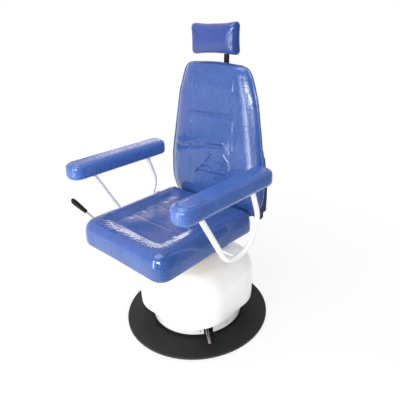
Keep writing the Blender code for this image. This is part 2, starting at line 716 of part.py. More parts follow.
def hinge(axis):
    shaft_end = ear_outer_x + SHAFT_PROUD
    rod = cylinder((-shaft_end, hinge_y, hinge_z), (shaft_end, hinge_y, hinge_z), SHAFT_RADIUS)
    make("hinge_shaft", *rod, black_paint(), axis)
    top = plate_bottom - GAP
    low = top - HINGE_ARM_DEPTH
    tail = seat_plate_rear_y - HINGE_ARM_LENGTH
    near = hinge_y - HINGE_EYE_RADIUS
    far = hinge_y + HINGE_EYE_RADIUS
    foot = arc((far - HINGE_ARM_CORNER, low + HINGE_ARM_CORNER), HINGE_ARM_CORNER, radians(-90), 0, 4)
    eye = arc((hinge_y, hinge_z), HINGE_EYE_RADIUS, 0, pi, 12)
    outline = [(tail, low)] + foot + eye + [(near, top), (tail, top)]
    for side, way in (("left", 1), ("right", -1)):
        mid = way * HINGE_ARM_SPREAD / 2
        solid = slab(outline, mid - HINGE_ARM_THICKNESS / 2, mid + HINGE_ARM_THICKNESS / 2, "x")
        piece = make("hinge_arm_" + side, *solid, black_paint(), axis)
        reach = HINGE_ARM_THICKNESS / 2 + OVERRUN
        ends = [(mid + end * reach, hinge_y, hinge_z) for end in (-1, 1)]
        cut(piece, "arm_bore_" + side, cylinder(*ends, SHAFT_RADIUS + GAP), axis)


# Recline lever at the sitter's right, under the front of the seat
LEVER_SETBACK = 0.1135           # from the seat's front
LEVER_INSET = 0.055              # pin from the seat's side
LEVER_DROP = 0.0277              # pin below the seat board
LEVER_ROD_RADIUS = 0.004
LEVER_HUB_RADIUS = 0.010
LEVER_HUB_LENGTH = 0.0185
LEVER_PIN_RADIUS = 0.004
LEVER_PIN_PROUD = 0.002
LEVER_CHEEK_THICKNESS = 0.004
LEVER_BRACKET_WIDTH = 0.036
LEVER_BRACKET_GAUGE = 0.004
LEVER_ELBOW_REACH = 0.025        # first bend outside the seat's side
LEVER_ELBOW_LEAN = 0.014
LEVER_ELBOW_RISE = 0.0625
LEVER_GRIP_REACH = 0.131         # grip's start outside the seat's side
LEVER_RISE_ANGLE = radians(12.5)
LEVER_BEND_RADIUS = 0.012
GRIP_LENGTH = 0.116
GRIP_WIDTH = 0.027
GRIP_THICKNESS = 0.014
GRIP_SOCKET = 0.045
GRIP_HOLE_RADIUS = 0.0045
GRIP_NOTCH_RADIUS = 0.004
lever_y = seat_front_y + LEVER_SETBACK
lever_x = LEVER_INSET - seat_side_x
lever_z = board_bottom - LEVER_DROP


def lever(frame_axis, axis):
    half = LEVER_HUB_LENGTH / 2 + GAP
    cheek = half + LEVER_CHEEK_THICKNESS
    wide = LEVER_BRACKET_WIDTH / 2
    high = board_bottom - GAP
    low = lever_z - LEVER_HUB_RADIUS
    outline = [(lever_y - cheek, low), (lever_y - cheek, high), (lever_y + cheek, high),
               (lever_y + cheek, low), (lever_y + half, low), (lever_y + half, high - LEVER_BRACKET_GAUGE),
               (lever_y - half, high - LEVER_BRACKET_GAUGE), (lever_y - half, low)]
    folded = slab(outline, lever_x - wide, lever_x + wide, "x")
    piece = make("lever_bracket", *folded, plain_steel(), frame_axis)
    ends = [(lever_x, lever_y + end * (cheek + LEVER_PIN_PROUD), lever_z) for end in (-1, 1)]
    cut(piece, "bracket_bore", cylinder(*ends, LEVER_PIN_RADIUS + GAP), frame_axis)
    make("lever_pin", *cylinder(*ends, LEVER_PIN_RADIUS), bright_steel(), frame_axis)
    ends = [(lever_x, lever_y + end * LEVER_HUB_LENGTH / 2, lever_z) for end in (-1, 1)]
    hub = cylinder(*ends, LEVER_HUB_RADIUS)
    elbow_x = -seat_side_x - LEVER_ELBOW_REACH
    grip_x = -seat_side_x - LEVER_GRIP_REACH
    elbow = Vector((elbow_x - LEVER_ELBOW_LEAN, lever_y, lever_z + LEVER_ELBOW_RISE))
    grip_start = Vector((grip_x, lever_y, elbow.z + (elbow.x - grip_x) * tan(LEVER_RISE_ANGLE)))
    along = (grip_start - elbow).normalized()
    tip = grip_start + along * GRIP_SOCKET
    corners = [(lever_x, lever_y, lever_z), (elbow_x, lever_y, lever_z), elbow, tip]
    bar = swept(rounded_path(corners, (LEVER_BEND_RADIUS, LEVER_BEND_RADIUS), 5), LEVER_ROD_RADIUS, 10)
    rod = make("lever_rod", *loft(bar), bright_steel(), axis)
    hub_piece = make("lever_hub_guide", *hub, bright_steel(), axis)
    hub_piece.hide_render = True
    hub_piece.display_type = "WIRE"
    union = rod.modifiers.new("hub", "BOOLEAN")
    union.operation = "UNION"
    union.solver = "EXACT"
    union.object = hub_piece
    reach = LEVER_HUB_LENGTH / 2 + OVERRUN
    ends = [(lever_x, lever_y + end * reach, lever_z) for end in (-1, 1)]
    cut(rod, "hub_bore", cylinder(*ends, LEVER_PIN_RADIUS + GAP), axis)
    grip(axis, grip_start, along)


def grip(axis, start, along):
    """A flat paddle that swells along its length, with a hanging hole and a thumb notch."""
    side = Vector((0, 1, 0))
    up = along.cross(side)
    if up.z < 0:
        up = -up
    rings = []
    for share, wide, thick in ((0.0, 0.50, 0.72), (0.04, 0.60, 0.90), (0.35, 0.80, 1.0), (0.80, 1.0, 1.0),
                               (0.95, 0.86, 0.95), (1.0, 0.55, 0.70)):
        centre = start + along * GRIP_LENGTH * share
        depth = thick * GRIP_THICKNESS
        ring = rounded_rectangle(wide * GRIP_WIDTH / 2, depth / 2, depth * 0.3, 0)
        rings.append([centre + up * p[0] + side * p[1] for p in ring])
    piece = make("lever_grip", *loft(rings), black_plastic(), axis)
    reach = side * (GRIP_THICKNESS / 2 + OVERRUN)
    hole = start + along * GRIP_LENGTH * 0.85
    cut(piece, "grip_hole", cylinder(hole - reach, hole + reach, GRIP_HOLE_RADIUS), axis)
    notch = start + along * GRIP_LENGTH * 0.55 + up * (GRIP_WIDTH * 0.45 + GRIP_NOTCH_RADIUS * 0.4)
    cut(piece, "grip_notch", cylinder(notch - reach, notch + reach, GRIP_NOTCH_RADIUS), axis)
    socket_end = start + along * (GRIP_SOCKET + GAP)
    bore = cylinder(start - along * OVERRUN, socket_end, LEVER_ROD_RADIUS + GAP)
    cut(piece, "grip_bore", bore, axis)


# Backrest, built upright in the frame of its hinge axis
BACK_BOTTOM_CORNER = 0.120
BACK_TOP_CORNER = 0.060
BACK_TOP_CROWN = 0.009
BACK_SIDE_RADIUS = 0.250
BACK_LOW_SHARE = 0.33            # height of the widest place
BACK_WAIST_SHARE = 0.785
BACK_OUTLINE_COUNT = 64
BACK_SEAM_RADIUS = 0.008
BACK_SEAM_DEPTH = 0.005
BACK_PANEL_HALF = 0.125
SHELL_TOP_SETBACK = 0.032        # from the top of the cushion
SHELL_SIDE_INSET = 0.022         # from the cushion's outline
SHELL_CORNER = 0.008
# inset from the outline (share of the way to the middle) and height (share of the thickness)
BACK_RING_SHARES = ((0.025, 0.0), (0.0, 0.12), (0.0, 0.40), (0.010, 0.62), (0.040, 0.82), (0.090, 0.93),
                    (0.170, 0.985), (0.30, 1.0), (0.42, 0.97), (0.52, 0.95), (0.70, 0.965), (0.90, 0.97))
# height (share of the back) and depth (share of the way from thin to deep) of the shell's sections
SHELL_SECTION_SHARES = ((0.0, 1.0), (0.20, 1.0), (0.28, 0.86), (0.40, 0.45), (0.52, 0.12), (0.62, 0.0),
                        (0.80, 0.0), (0.94, 0.0), (1.0, 0.0))


def even_loop(points, count):
    """Resample a closed outline to equal steps along its length."""
    points = [Vector(p) for p in points]
    ends = points[1:] + points[:1]
    lengths = [(b - a).length for a, b in zip(points, ends)]
    total = sum(lengths)
    even = []
    walked = 0.0
    index = 0
    for k in range(count):
        target = total * k / count
        while walked + lengths[index] < target:
            walked += lengths[index]
            index += 1
        even.append(points[index].lerp(ends[index], (target - walked) / lengths[index]))
    return even


def back_half_outline():
    """The right half of the cushion's tapered outline, from the bottom's middle to the top's."""
    low = BACK_LOW_WIDTH / 2
    corners = [(0.0, back_bottom_u), (low * 0.99, back_bottom_u),
               (low, back_bottom_u + BACK_LOW_SHARE * BACK_HEIGHT),
               (BACK_WAIST_WIDTH / 2, back_bottom_u + BACK_WAIST_SHARE * BACK_HEIGHT),
               (BACK_TOP_WIDTH / 2, back_top_u - BACK_TOP_CROWN), (0.0, back_top_u)]
    radii = (BACK_BOTTOM_CORNER, BACK_SIDE_RADIUS, BACK_SIDE_RADIUS, BACK_TOP_CORNER)
    return rounded_path([(x, u, 0.0) for x, u in corners], radii, 8)


def half_width_at(u):
    """Half the cushion's width at a height above its bottom corner."""
    side = [p for p in back_half_outline() if p.x > BACK_TOP_WIDTH / 3]
    for low, high in zip(side, side[1:]):
        if low.y <= u <= high.y:
            return low.lerp(high, (u - low.y) / (high.y - low.y)).x
    return side[-1].x


def backrest(axis):
    rings = []
    shell_height = back_top_u - SHELL_TOP_SETBACK - SHELL_RISE
    for height_share, depth_share in SHELL_SECTION_SHARES:
        u = SHELL_RISE + height_share * shell_height
        depth = SHELL_THICKNESS + depth_share * (SHELL_LOW_DEPTH - SHELL_THICKNESS)
        beside = half_width_at(max(u, BACK_LOW_SHARE * BACK_HEIGHT)) - SHELL_SIDE_INSET
        half = min(SHELL_LOW_WIDTH / 2, beside)
        if height_share == 1.0:
            half -= SHELL_SIDE_INSET
        ring = rounded_rectangle(half, depth / 2, SHELL_CORNER, 0, (0.0, shell_front_n + depth / 2))
        rings.append([(x, n, u) for x, n, _ in ring])
    make("back_shell", *loft(rings), vinyl(), axis, True)
    half = back_half_outline()
    mirrored = [Vector((-p.x, p.y, 0.0)) for p in reversed(half[1:-1])]
    outline = even_loop(half + mirrored, BACK_OUTLINE_COUNT)
    middle = Vector((0.0, back_bottom_u + BACK_HEIGHT / 2, 0.0))
    rings = []
    for inset_share, height_share in BACK_RING_SHARES:
        n = cushion_rear_n - height_share * BACK_CUSHION_THICKNESS
        drawn = [p.lerp(middle, inset_share) for p in outline]
        rings.append([(p.x, n, p.y) for p in drawn])
    cushion = make("back_cushion", *loft(rings), vinyl(), axis, True)
    low = back_bottom_u + BACK_HEIGHT * 0.15
    high = back_bottom_u + BACK_HEIGHT * 0.90
    narrow = BACK_PANEL_HALF * 0.92
    upper = low + (high - low) * 0.68
    lower = low + (high - low) * 0.38
    seams = {
        "back_seam_left": ((BACK_PANEL_HALF, low), (narrow, high)),
        "back_seam_right": ((-BACK_PANEL_HALF, low), (-narrow, high)),
        "back_seam_upper": ((-narrow * 0.99, upper), (narrow * 0.99, upper)),
        "back_seam_lower": ((-BACK_PANEL_HALF * 0.97, lower), (BACK_PANEL_HALF * 0.97, lower)),
    }
    for name, ((x0, u0), (x1, u1)) in seams.items():
        steps = 10
        path = [(x0 + (x1 - x0) * k / steps, 0.0, u0 + (u1 - u0) * k / steps) for k in range(steps + 1)]
        channel(cushion, name, path, (0, 1, 0), BACK_SEAM_RADIUS, BACK_SEAM_DEPTH, axis, BACK_HEIGHT)
    hinge_ears(axis)


def hinge_ears(axis):
    """Ears under the shell's lower corners, which turn on the shaft."""
    top = SHELL_RISE - GAP
    near = shell_front_n
    outline = [(near, -EAR_DROP / 2), (near / 2, -EAR_DROP), (EAR_DEPTH * 0.7, -EAR_DROP),
               (EAR_DEPTH, -EAR_DROP * 0.6), (EAR_DEPTH, top), (near, top)]
    for side, way in (("left", 1), ("right", -1)):
        outer = way * ear_outer_x
        inner = way * (ear_outer_x - EAR_THICKNESS)
        solid = slab(outline, min(outer, inner), max(outer, inner), "x")
        piece = make("hinge_ear_" + side, *solid, black_paint(), axis, True)
        ends = [(inner - way * OVERRUN, 0, 0), (outer + way * OVERRUN, 0, 0)]
        cut(piece, "ear_bore_" + side, cylinder(*ends, SHAFT_RADIUS + GAP), axis, True)


# Headrest post, its guide and clamp knob, in the frame of the hinge axis
POST_WIDTH = 0.020
POST_THICKNESS = 0.012
POST_STANDOFF = 0.0209           # from the shell's rear
POST_LENGTH = 0.435
POST_RISE = 0.092                # tilt pin above the top of the back
GUIDE_WIDTH = 0.056
GUIDE_HEIGHT = 0.100
GUIDE_TOP_DROP = 0.055           # below the top of the back
GUIDE_WALL = 0.0078
KNOB_SCREW_RADIUS = 0.004
KNOB_NECK = 0.006
KNOB_HEAD_RADIUS = 0.018
KNOB_HEAD_THICKNESS = 0.016
KNOB_LOBE_COUNT = 5
KNOB_LOBE_SHARE = 0.12
post_front_n = shell_rear_n + POST_STANDOFF
post_mid_n = post_front_n + POST_THICKNESS / 2
post_rear_n = post_front_n + POST_THICKNESS
guide_rear_n = post_rear_n + GAP + GUIDE_WALL
guide_top_u = back_top_u - GUIDE_TOP_DROP
knob_u = guide_top_u - GUIDE_HEIGHT / 2
pin_u = back_top_u + POST_RISE


def guide(axis, knob_axis):
    half = GUIDE_WIDTH / 2
    low = (-half, shell_rear_n + GAP, guide_top_u - GUIDE_HEIGHT)
    body = block(low, (half, guide_rear_n, guide_top_u))
    piece = make("headrest_guide", *body, black_plastic(), axis, True)
    way = POST_WIDTH / 2 + GAP
    slot = block((-way, post_front_n - GAP, low[2] - OVERRUN),
                 (way, post_rear_n + GAP, guide_top_u + OVERRUN))
    cut(piece, "guide_slot", slot, axis, True)
    bore = cylinder((0, post_mid_n, knob_u), (0, guide_rear_n + OVERRUN, knob_u), KNOB_SCREW_RADIUS + GAP)
    cut(piece, "guide_bore", bore, axis, True)
    count = KNOB_LOBE_COUNT * 8
    head_n = guide_rear_n + KNOB_NECK - guide_rear_n
    profile = []
    screw_start = post_rear_n + GAP - guide_rear_n
    rim = KNOB_HEAD_THICKNESS * 0.15
    for n, radius, lobed in ((screw_start, KNOB_SCREW_RADIUS, 0), (head_n, KNOB_SCREW_RADIUS, 0),
                             (head_n, KNOB_HEAD_RADIUS - rim, 1), (head_n + rim, KNOB_HEAD_RADIUS, 1),
                             (head_n + KNOB_HEAD_THICKNESS - rim, KNOB_HEAD_RADIUS, 1),
                             (head_n + KNOB_HEAD_THICKNESS, KNOB_HEAD_RADIUS - rim, 1)):
        ring = []
        for k in range(count):
            t = 2 * pi * k / count
            r = radius * (1 + KNOB_LOBE_SHARE * lobed * cos(KNOB_LOBE_COUNT * t))
            ring.append((r * cos(t), n, r * sin(t)))
        profile.append(ring)
    make("clamp_knob", *loft(profile), black_plastic(), knob_axis, True)


def post(axis):
    """Flat bar with a rounded top, bored for the tilt pin."""
    half_n = POST_THICKNESS / 2
    top = arc((0.0, 0.0), half_n, 0, pi, 8)
    low = -POST_LENGTH
    outline = [(-half_n, low), (half_n, low)] + top
    bar = slab(outline, -POST_WIDTH / 2, POST_WIDTH / 2, "x")
    piece = make("headrest_post", *bar, black_paint(), axis, True)
    reach = POST_WIDTH / 2 + OVERRUN
    cut(piece, "post_bore", cylinder((-reach, 0, 0), (reach, 0, 0), TILT_PIN_RADIUS + GAP, 14), axis, True)


# Headrest, built upright in the frame of its tilt pin
TILT_PIN_RADIUS = 0.0035
TILT_PIN_HEAD_RADIUS = 0.006
TILT_PIN_HEAD = 0.003
TILT_EAR_THICKNESS = 0.004
TILT_EAR_RADIUS = 0.010
TILT_PLATE_WIDTH = 0.070
TILT_PLATE_HEIGHT = 0.066
TILT_PLATE_GAUGE = 0.004
HEADREST_STANDOFF = 0.047        # from the pin to the board's rear
HEADREST_BOARD_THICKNESS = 0.012
HEADREST_BOARD_MARGIN = 0.022
HEADREST_LIFT = 0.004            # cushion's middle above the pin
HEADREST_CORNER = 0.018
HEADREST_SIDE_PULL = 0.005
HEADREST_RING_SHARES = ((0.10, 0.0), (0.0, 0.18), (0.0, 0.42), (0.03, 0.62), (0.12, 0.80), (0.26, 0.91),
                        (0.45, 0.97), (0.70, 1.0), (0.92, 1.0))


def headrest(axis):
    rear = -HEADREST_STANDOFF
    half_x = HEADREST_WIDTH / 2
    half_z = HEADREST_HEIGHT / 2
    margin = HEADREST_BOARD_MARGIN
    ring = rounded_rectangle(half_x - margin, half_z - margin, HEADREST_CORNER, 0)
    fronts = (rear - HEADREST_BOARD_THICKNESS, rear)
    make("headrest_board", *loft([[(x, n, z + HEADREST_LIFT) for x, z, _ in ring] for n in fronts]),
         black_plastic(), axis, True)
    base_n = rear - HEADREST_BOARD_THICKNESS - GAP
    rings = []
    for inset_share, height_share in HEADREST_RING_SHARES:
        inset = inset_share * half_z
        corner = max(HEADREST_CORNER - inset * 0.4, HEADREST_CORNER * 0.2)
        corner = min(corner, half_z - inset)
        ring = rounded_rectangle(half_x - inset, half_z - inset, corner, 0, side_count=5)
        ring = drawn_in(ring, half_x, half_z, HEADREST_SIDE_PULL * (1 - inset_share))
        level = base_n - height_share * HEADREST_THICKNESS
        rings.append([(x, level, z + HEADREST_LIFT) for x, z, _ in ring])
    make("headrest_cushion", *loft(rings), vinyl(), axis, True)
    inner = POST_WIDTH / 2 + GAP
    outer = inner + TILT_EAR_THICKNESS
    wide = TILT_PLATE_WIDTH / 2
    high = TILT_PLATE_HEIGHT / 2
    near = rear + GAP
    skin = near + TILT_PLATE_GAUGE
    plate = block((-wide, near, -high), (wide, skin, high))
    piece = make("tilt_bracket", *plate, black_paint(), axis, True)
    eye = arc((0.0, 0.0), TILT_EAR_RADIUS, radians(-90), radians(90), 10)
    root = near + TILT_PLATE_GAUGE / 2
    outline = [(root, -TILT_EAR_RADIUS)] + eye + [(root, TILT_EAR_RADIUS)]
    for name, low in (("ear_left", inner), ("ear_right", -outer)):
        ear = make(name, *slab(outline, low, low + TILT_EAR_THICKNESS, "x"), black_paint(), axis, True)
        ear.hide_render = True
        ear.display_type = "WIRE"
        step = piece.modifiers.new(name, "BOOLEAN")
        step.operation = "UNION"
        step.solver = "EXACT"
        step.object = ear
    reach = outer + OVERRUN
    cut(piece, "ear_bore", cylinder((-reach, 0, 0), (reach, 0, 0), TILT_PIN_RADIUS + GAP, 14), axis, True)
    end = outer + GAP
    rings = []
    head_end = end + TILT_PIN_HEAD
    for x, radius in ((-head_end, TILT_PIN_HEAD_RADIUS), (-end, TILT_PIN_HEAD_RADIUS),
                      (-end, TILT_PIN_RADIUS), (end, TILT_PIN_RADIUS),
                      (end, TILT_PIN_HEAD_RADIUS), (head_end, TILT_PIN_HEAD_RADIUS)):
        rings.append([(x, a, b) for a, b, _ in circle(radius, 0, count=14)])
    make("tilt_pin", *loft(rings), bright_steel(), axis, True)


lock_axis = axis_empty("lock_axis", stud_place)
lift_axis = axis_empty("lift_axis", (0, 0, ram_foot))
swivel_axis = axis_empty("swivel_axis", (0, 0, 0))
lever_axis = axis_empty("lever_axis", (lever_x, lever_y, lever_z))
recline_axis = axis_empty("recline_axis", (0, hinge_y, hinge_z), -BACK_LEAN_ANGLE)
knob_axis = axis_empty("knob_axis", (0, guide_rear_n, knob_u), 0.0, recline_axis)
post_axis = axis_empty("post_axis", (0, post_mid_n, pin_u), 0.0, recline_axis)
tilt_axis = axis_empty("tilt_axis", (0, 0, 0), BACK_LEAN_ANGLE, post_axis)

base()
skirt()
column()
lock(lock_axis)
ram(lift_axis)
carriage(swivel_axis)
arms(swivel_axis)
seat_plate(swivel_axis)
seat(swivel_axis)
arm_pads(swivel_axis)
hinge(swivel_axis)
lever(swivel_axis, lever_axis)
backrest(recline_axis)
guide(recline_axis, knob_axis)
post(post_axis)
headrest(tilt_axis)
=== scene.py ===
"""Looks of the treatment chair, section by section in the order in which it is put together."""
from math import cos, pi, radians, sin

import bmesh
import bpy
import numpy as np
from mathutils import Matrix, Vector, noise


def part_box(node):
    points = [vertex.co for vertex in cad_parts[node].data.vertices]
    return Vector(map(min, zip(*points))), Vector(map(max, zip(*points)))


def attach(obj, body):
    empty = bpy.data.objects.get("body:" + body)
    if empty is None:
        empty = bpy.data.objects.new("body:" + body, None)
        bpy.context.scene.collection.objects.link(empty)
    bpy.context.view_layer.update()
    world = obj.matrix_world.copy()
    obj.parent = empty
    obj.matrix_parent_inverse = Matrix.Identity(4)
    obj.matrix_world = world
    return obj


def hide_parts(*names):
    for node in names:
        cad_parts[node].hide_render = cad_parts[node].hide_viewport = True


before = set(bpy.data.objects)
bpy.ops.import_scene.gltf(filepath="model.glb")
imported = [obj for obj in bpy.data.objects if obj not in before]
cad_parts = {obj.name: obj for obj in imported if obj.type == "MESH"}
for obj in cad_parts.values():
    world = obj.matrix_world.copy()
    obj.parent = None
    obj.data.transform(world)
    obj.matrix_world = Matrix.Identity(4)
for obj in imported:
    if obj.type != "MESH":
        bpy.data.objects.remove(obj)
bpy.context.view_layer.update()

bpy.ops.object.select_all(action="DESELECT")


# Floor pad and base plate
# The chair stands on a round steel plate, powder coated charcoal black, with sheet rubber under it.
# The coat is fine and even, with a little dust, light scuffs from shoes and a rubbed rim.
def socket_in(group, kind, name, value):
    made = group.interface.new_socket(name=name, in_out="INPUT", socket_type=kind)
    made.default_value = value


def socket_out(group, kind, name):
    group.interface.new_socket(name=name, in_out="OUTPUT", socket_type=kind)


def wire(tree, kind, **inputs):
    """Add a node and set or link its inputs, named by socket with underscores for spaces."""
    made = tree.nodes.new(kind)
    for key, value in inputs.items():
        if key.startswith("set_"):
            setattr(made, key[4:], value)
            continue
        index = int(key[1:]) if key[0] == "i" and key[1:].isdigit() else key.replace("_", " ")
        if isinstance(value, bpy.types.NodeSocket):
            tree.links.new(value, made.inputs[index])
        else:
            made.inputs[index].default_value = value
    return made


def maths(tree, operation, *values, **settings):
    """Add a sum, product or the like of values in order, and give its result."""
    inputs = {f"i{k}": value for k, value in enumerate(values)}
    return wire(tree, "ShaderNodeMath", set_operation=operation, **settings, **inputs).outputs[0]


def surface_group():
    """Cloudy tone, fine speckle and scuffs, read from the object's own place in metres."""
    group = bpy.data.node_groups.new("surface_wear", "ShaderNodeTree")
    socket_in(group, "NodeSocketColor", "Colour", (0.5, 0.5, 0.5, 1))
    socket_in(group, "NodeSocketColor", "Worn", (0.7, 0.7, 0.7, 1))
    socket_in(group, "NodeSocketFloat", "Tone", 0.06)
    socket_in(group, "NodeSocketFloat", "Scuffs", 0.15)
    socket_in(group, "NodeSocketFloat", "Roughness", 0.4)
    socket_in(group, "NodeSocketFloat", "Peel Size", 600.0)
    socket_in(group, "NodeSocketFloat", "Edge", 0.0)
    socket_out(group, "NodeSocketColor", "Colour")
    socket_out(group, "NodeSocketFloat", "Roughness")
    socket_out(group, "NodeSocketFloat", "Height")
    came = group.nodes.new("NodeGroupInput").outputs
    place = wire(group, "ShaderNodeTexCoord").outputs["Object"]
    cloud = wire(group, "ShaderNodeTexNoise", Vector=place, Scale=7.0, Detail=4.0).outputs["Fac"]
    speck = wire(group, "ShaderNodeTexNoise", Vector=place, Scale=420.0, Detail=2.0).outputs["Fac"]
    stretched = wire(group, "ShaderNodeMapping", Vector=place, Rotation=(0.3, 0.2, 0.7),
                     Scale=(9.0, 60.0, 34.0)).outputs[0]
    scratch = wire(group, "ShaderNodeTexNoise", Vector=stretched, Scale=1.0, Detail=5.0,
                   Roughness=0.7).outputs["Fac"]
    scratch = wire(group, "ShaderNodeMapRange", Value=scratch, From_Min=0.60, From_Max=0.76)
    scuffed = maths(group, "MULTIPLY", scratch.outputs[0], came["Scuffs"])
    rubbed = maths(group, "MULTIPLY", came["Edge"], cloud)
    worn = maths(group, "ADD", scuffed, rubbed, set_use_clamp=True)
    shift = maths(group, "ADD", cloud, speck)
    shift = maths(group, "SUBTRACT", shift, 1.0)
    shift = maths(group, "MULTIPLY_ADD", shift, came["Tone"], 1.0)
    toned = wire(group, "ShaderNodeVectorMath", set_operation="SCALE", i0=came["Colour"])
    group.links.new(shift, toned.inputs["Scale"])
    mixed = wire(group, "ShaderNodeMix", set_data_type="RGBA", i0=worn)
    group.links.new(toned.outputs[0], mixed.inputs[6])
    group.links.new(came["Worn"], mixed.inputs[7])
    roughness_spread = 0.16
    scuff_depth = 1.5
    rough = maths(group, "MULTIPLY_ADD", cloud, roughness_spread, came["Roughness"])
    rough = maths(group, "SUBTRACT", rough, roughness_spread / 2)
    peel = wire(group, "ShaderNodeTexNoise", Vector=place, Scale=came["Peel Size"], Detail=1.0)
    deep = maths(group, "MULTIPLY_ADD", scuffed, -scuff_depth, peel.outputs["Fac"])
    leaves = group.nodes.new("NodeGroupOutput").inputs
    group.links.new(mixed.outputs[2], leaves["Colour"])
    group.links.new(rough, leaves["Roughness"])
    group.links.new(deep, leaves["Height"])
    return group


surface_wear = surface_group()


def finish(name, colour, worn, roughness, metallic=0.0, tone=0.06, scuffs=0.15, peel=600.0,
           depth=0.0001, bump=0.3, coat=0.0, edge=None, specular=0.5):
    """A paint, metal or moulding with cloudy tone, scuffs and a fine relief."""
    made = bpy.data.materials.new(name)
    made.use_nodes = True
    tree = made.node_tree
    shader = tree.nodes["Principled BSDF"]
    shader.inputs["Metallic"].default_value = metallic
    shader.inputs["Specular IOR Level"].default_value = specular
    shader.inputs["Coat Weight"].default_value = coat
    shader.inputs["Coat Roughness"].default_value = 0.08
    wear = tree.nodes.new("ShaderNodeGroup")
    wear.node_tree = surface_wear
    for key, value in (("Colour", (*colour, 1)), ("Worn", (*worn, 1)), ("Tone", tone),
                       ("Scuffs", scuffs), ("Roughness", roughness), ("Peel Size", peel)):
        wear.inputs[key].default_value = value
    if edge is not None:
        tree.links.new(edge(tree), wear.inputs["Edge"])
    relief = wire(tree, "ShaderNodeBump", Strength=bump, Distance=depth,
                  Height=wear.outputs["Height"])
    tree.links.new(wear.outputs["Colour"], shader.inputs["Base Color"])
    tree.links.new(wear.outputs["Roughness"], shader.inputs["Roughness"])
    tree.links.new(relief.outputs[0], shader.inputs["Normal"])
    return made


def dress(made, *nodes):
    """Give the named pieces their finish."""
    for node in nodes:
        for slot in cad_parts[node].material_slots:
            slot.material = made


base_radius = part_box("base_plate")[1].x
rim_width = 0.005
rim_round = 0.0005


def plate_rim(tree):
    """Rubbed paint in a narrow band at the plate's rim."""
    place = wire(tree, "ShaderNodeTexCoord").outputs["Object"]
    flat = wire(tree, "ShaderNodeVectorMath", set_operation="MULTIPLY", i0=place,
                i1=(1.0, 1.0, 0.0)).outputs[0]
    out = wire(tree, "ShaderNodeVectorMath", set_operation="LENGTH", i0=flat).outputs["Value"]
    return wire(tree, "ShaderNodeMapRange", Value=out, From_Min=base_radius - rim_width,
                From_Max=base_radius - rim_round, To_Max=0.6).outputs[0]


base_black = finish("base_black_powder_coat", (0.017, 0.017, 0.018), (0.070, 0.070, 0.072), 0.50,
                    tone=0.75, scuffs=0.45, peel=900.0, depth=0.00025, bump=0.5, edge=plate_rim,
                    specular=0.22)
floor_rubber = finish("black_sheet_rubber", (0.018, 0.018, 0.018), (0.05, 0.05, 0.05), 0.75,
                      scuffs=0.1, bump=0.5)
dress(base_black, "base_plate", "skirt_ring")
dress(floor_rubber, "floor_pad")

# Lower skirt
# A ring of white painted sheet steel stands on the plate and hides the column, with a slot for the
# lock rod. Small plated screws hold it to its ring.
white_coat = finish("white_gloss_powder_coat", (0.90, 0.90, 0.90), (0.74, 0.73, 0.71), 0.24,
                    tone=0.02, scuffs=0.08, peel=330.0, depth=0.00025, bump=0.25, coat=0.4)
screw_steel = finish("plated_screw_steel", (0.62, 0.61, 0.59), (0.42, 0.41, 0.40), 0.26,
                     metallic=1.0, tone=0.2, scuffs=0.4, bump=0.2)
dress(white_coat, "lower_skirt")
dress(screw_steel, *[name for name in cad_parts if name.startswith("skirt_screw")])

# Lift column, ram and turntable
# Turned and ground steel parts that carry the seat: cylinder, bronze bush, polished ram, bearing and
# turntable. They are greased, and the skirt hides them.
plain_steel = finish("plain_zinc_steel", (0.46, 0.46, 0.47), (0.30, 0.29, 0.28), 0.38,
                     metallic=1.0, tone=0.25, scuffs=0.35, peel=240.0, bump=0.3)
ground_steel = finish("ground_steel", (0.66, 0.66, 0.67), (0.45, 0.45, 0.45), 0.16,
                      metallic=1.0, tone=0.12, scuffs=0.2, peel=1500.0, bump=0.15)
bearing_bronze = finish("bearing_bronze", (0.52, 0.33, 0.15), (0.30, 0.20, 0.12), 0.35,
                        metallic=1.0, tone=0.2)
piston_plastic = finish("piston_plastic", (0.03, 0.03, 0.03), (0.08, 0.08, 0.08), 0.5)
dress(plain_steel, "column_cylinder", "turntable", "lock_cam", "lock_stud",
      *[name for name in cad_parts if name.startswith("column_bolt")])
dress(ground_steel, "lift_ram", "swivel_bearing")
dress(bearing_bronze, "guide_bush")
dress(piston_plastic, "ram_piston")

# Lock rod
# A bright plated steel rod comes out through the skirt's slot and is pushed sideways with the foot.
# Its end is worn smooth and lightly scratched.
rod_chrome = finish("lock_rod_chrome", (0.72, 0.72, 0.73), (0.50, 0.50, 0.50), 0.18,
                    metallic=1.0, tone=0.1, scuffs=0.5, peel=800.0, bump=0.2)
dress(rod_chrome, "lock_rod")

# Shroud
# A square white moulded cover with wide round corners and shoulders, which turns with the seat.
# It is one thin vacuum-formed sheet in gloss white with a slight ripple.
shroud_gloss = finish("white_moulded_gloss", (0.90, 0.90, 0.90), (0.78, 0.77, 0.75), 0.20,
                      tone=0.02, scuffs=0.06, peel=60.0, depth=0.0006, bump=0.12, coat=0.3)
shroud_low, shroud_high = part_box("shroud")
shroud_corner = 0.163
shroud_shoulder = 0.085
shroud_wall = 0.0032
foot_inset = 0.003
foot_share = 1 - foot_inset / shroud_high.x
foot_middle = (0, 0, shroud_low.z)
lip_share = 0.988
lip_height = 0.003


def choose(piece, kind, test):
    """Select only the faces or edges that pass the test, in edit mode."""
    shaped = bmesh.from_edit_mesh(piece.data)
    bpy.ops.mesh.select_all(action="DESELECT")
    bpy.context.tool_settings.mesh_select_mode = (False, kind == "edges", kind == "faces")
    for part in getattr(shaped, kind):
        if test(part):
            part.select_set(True)
    shaped.select_flush_mode()
    bmesh.update_edit_mesh(piece.data)


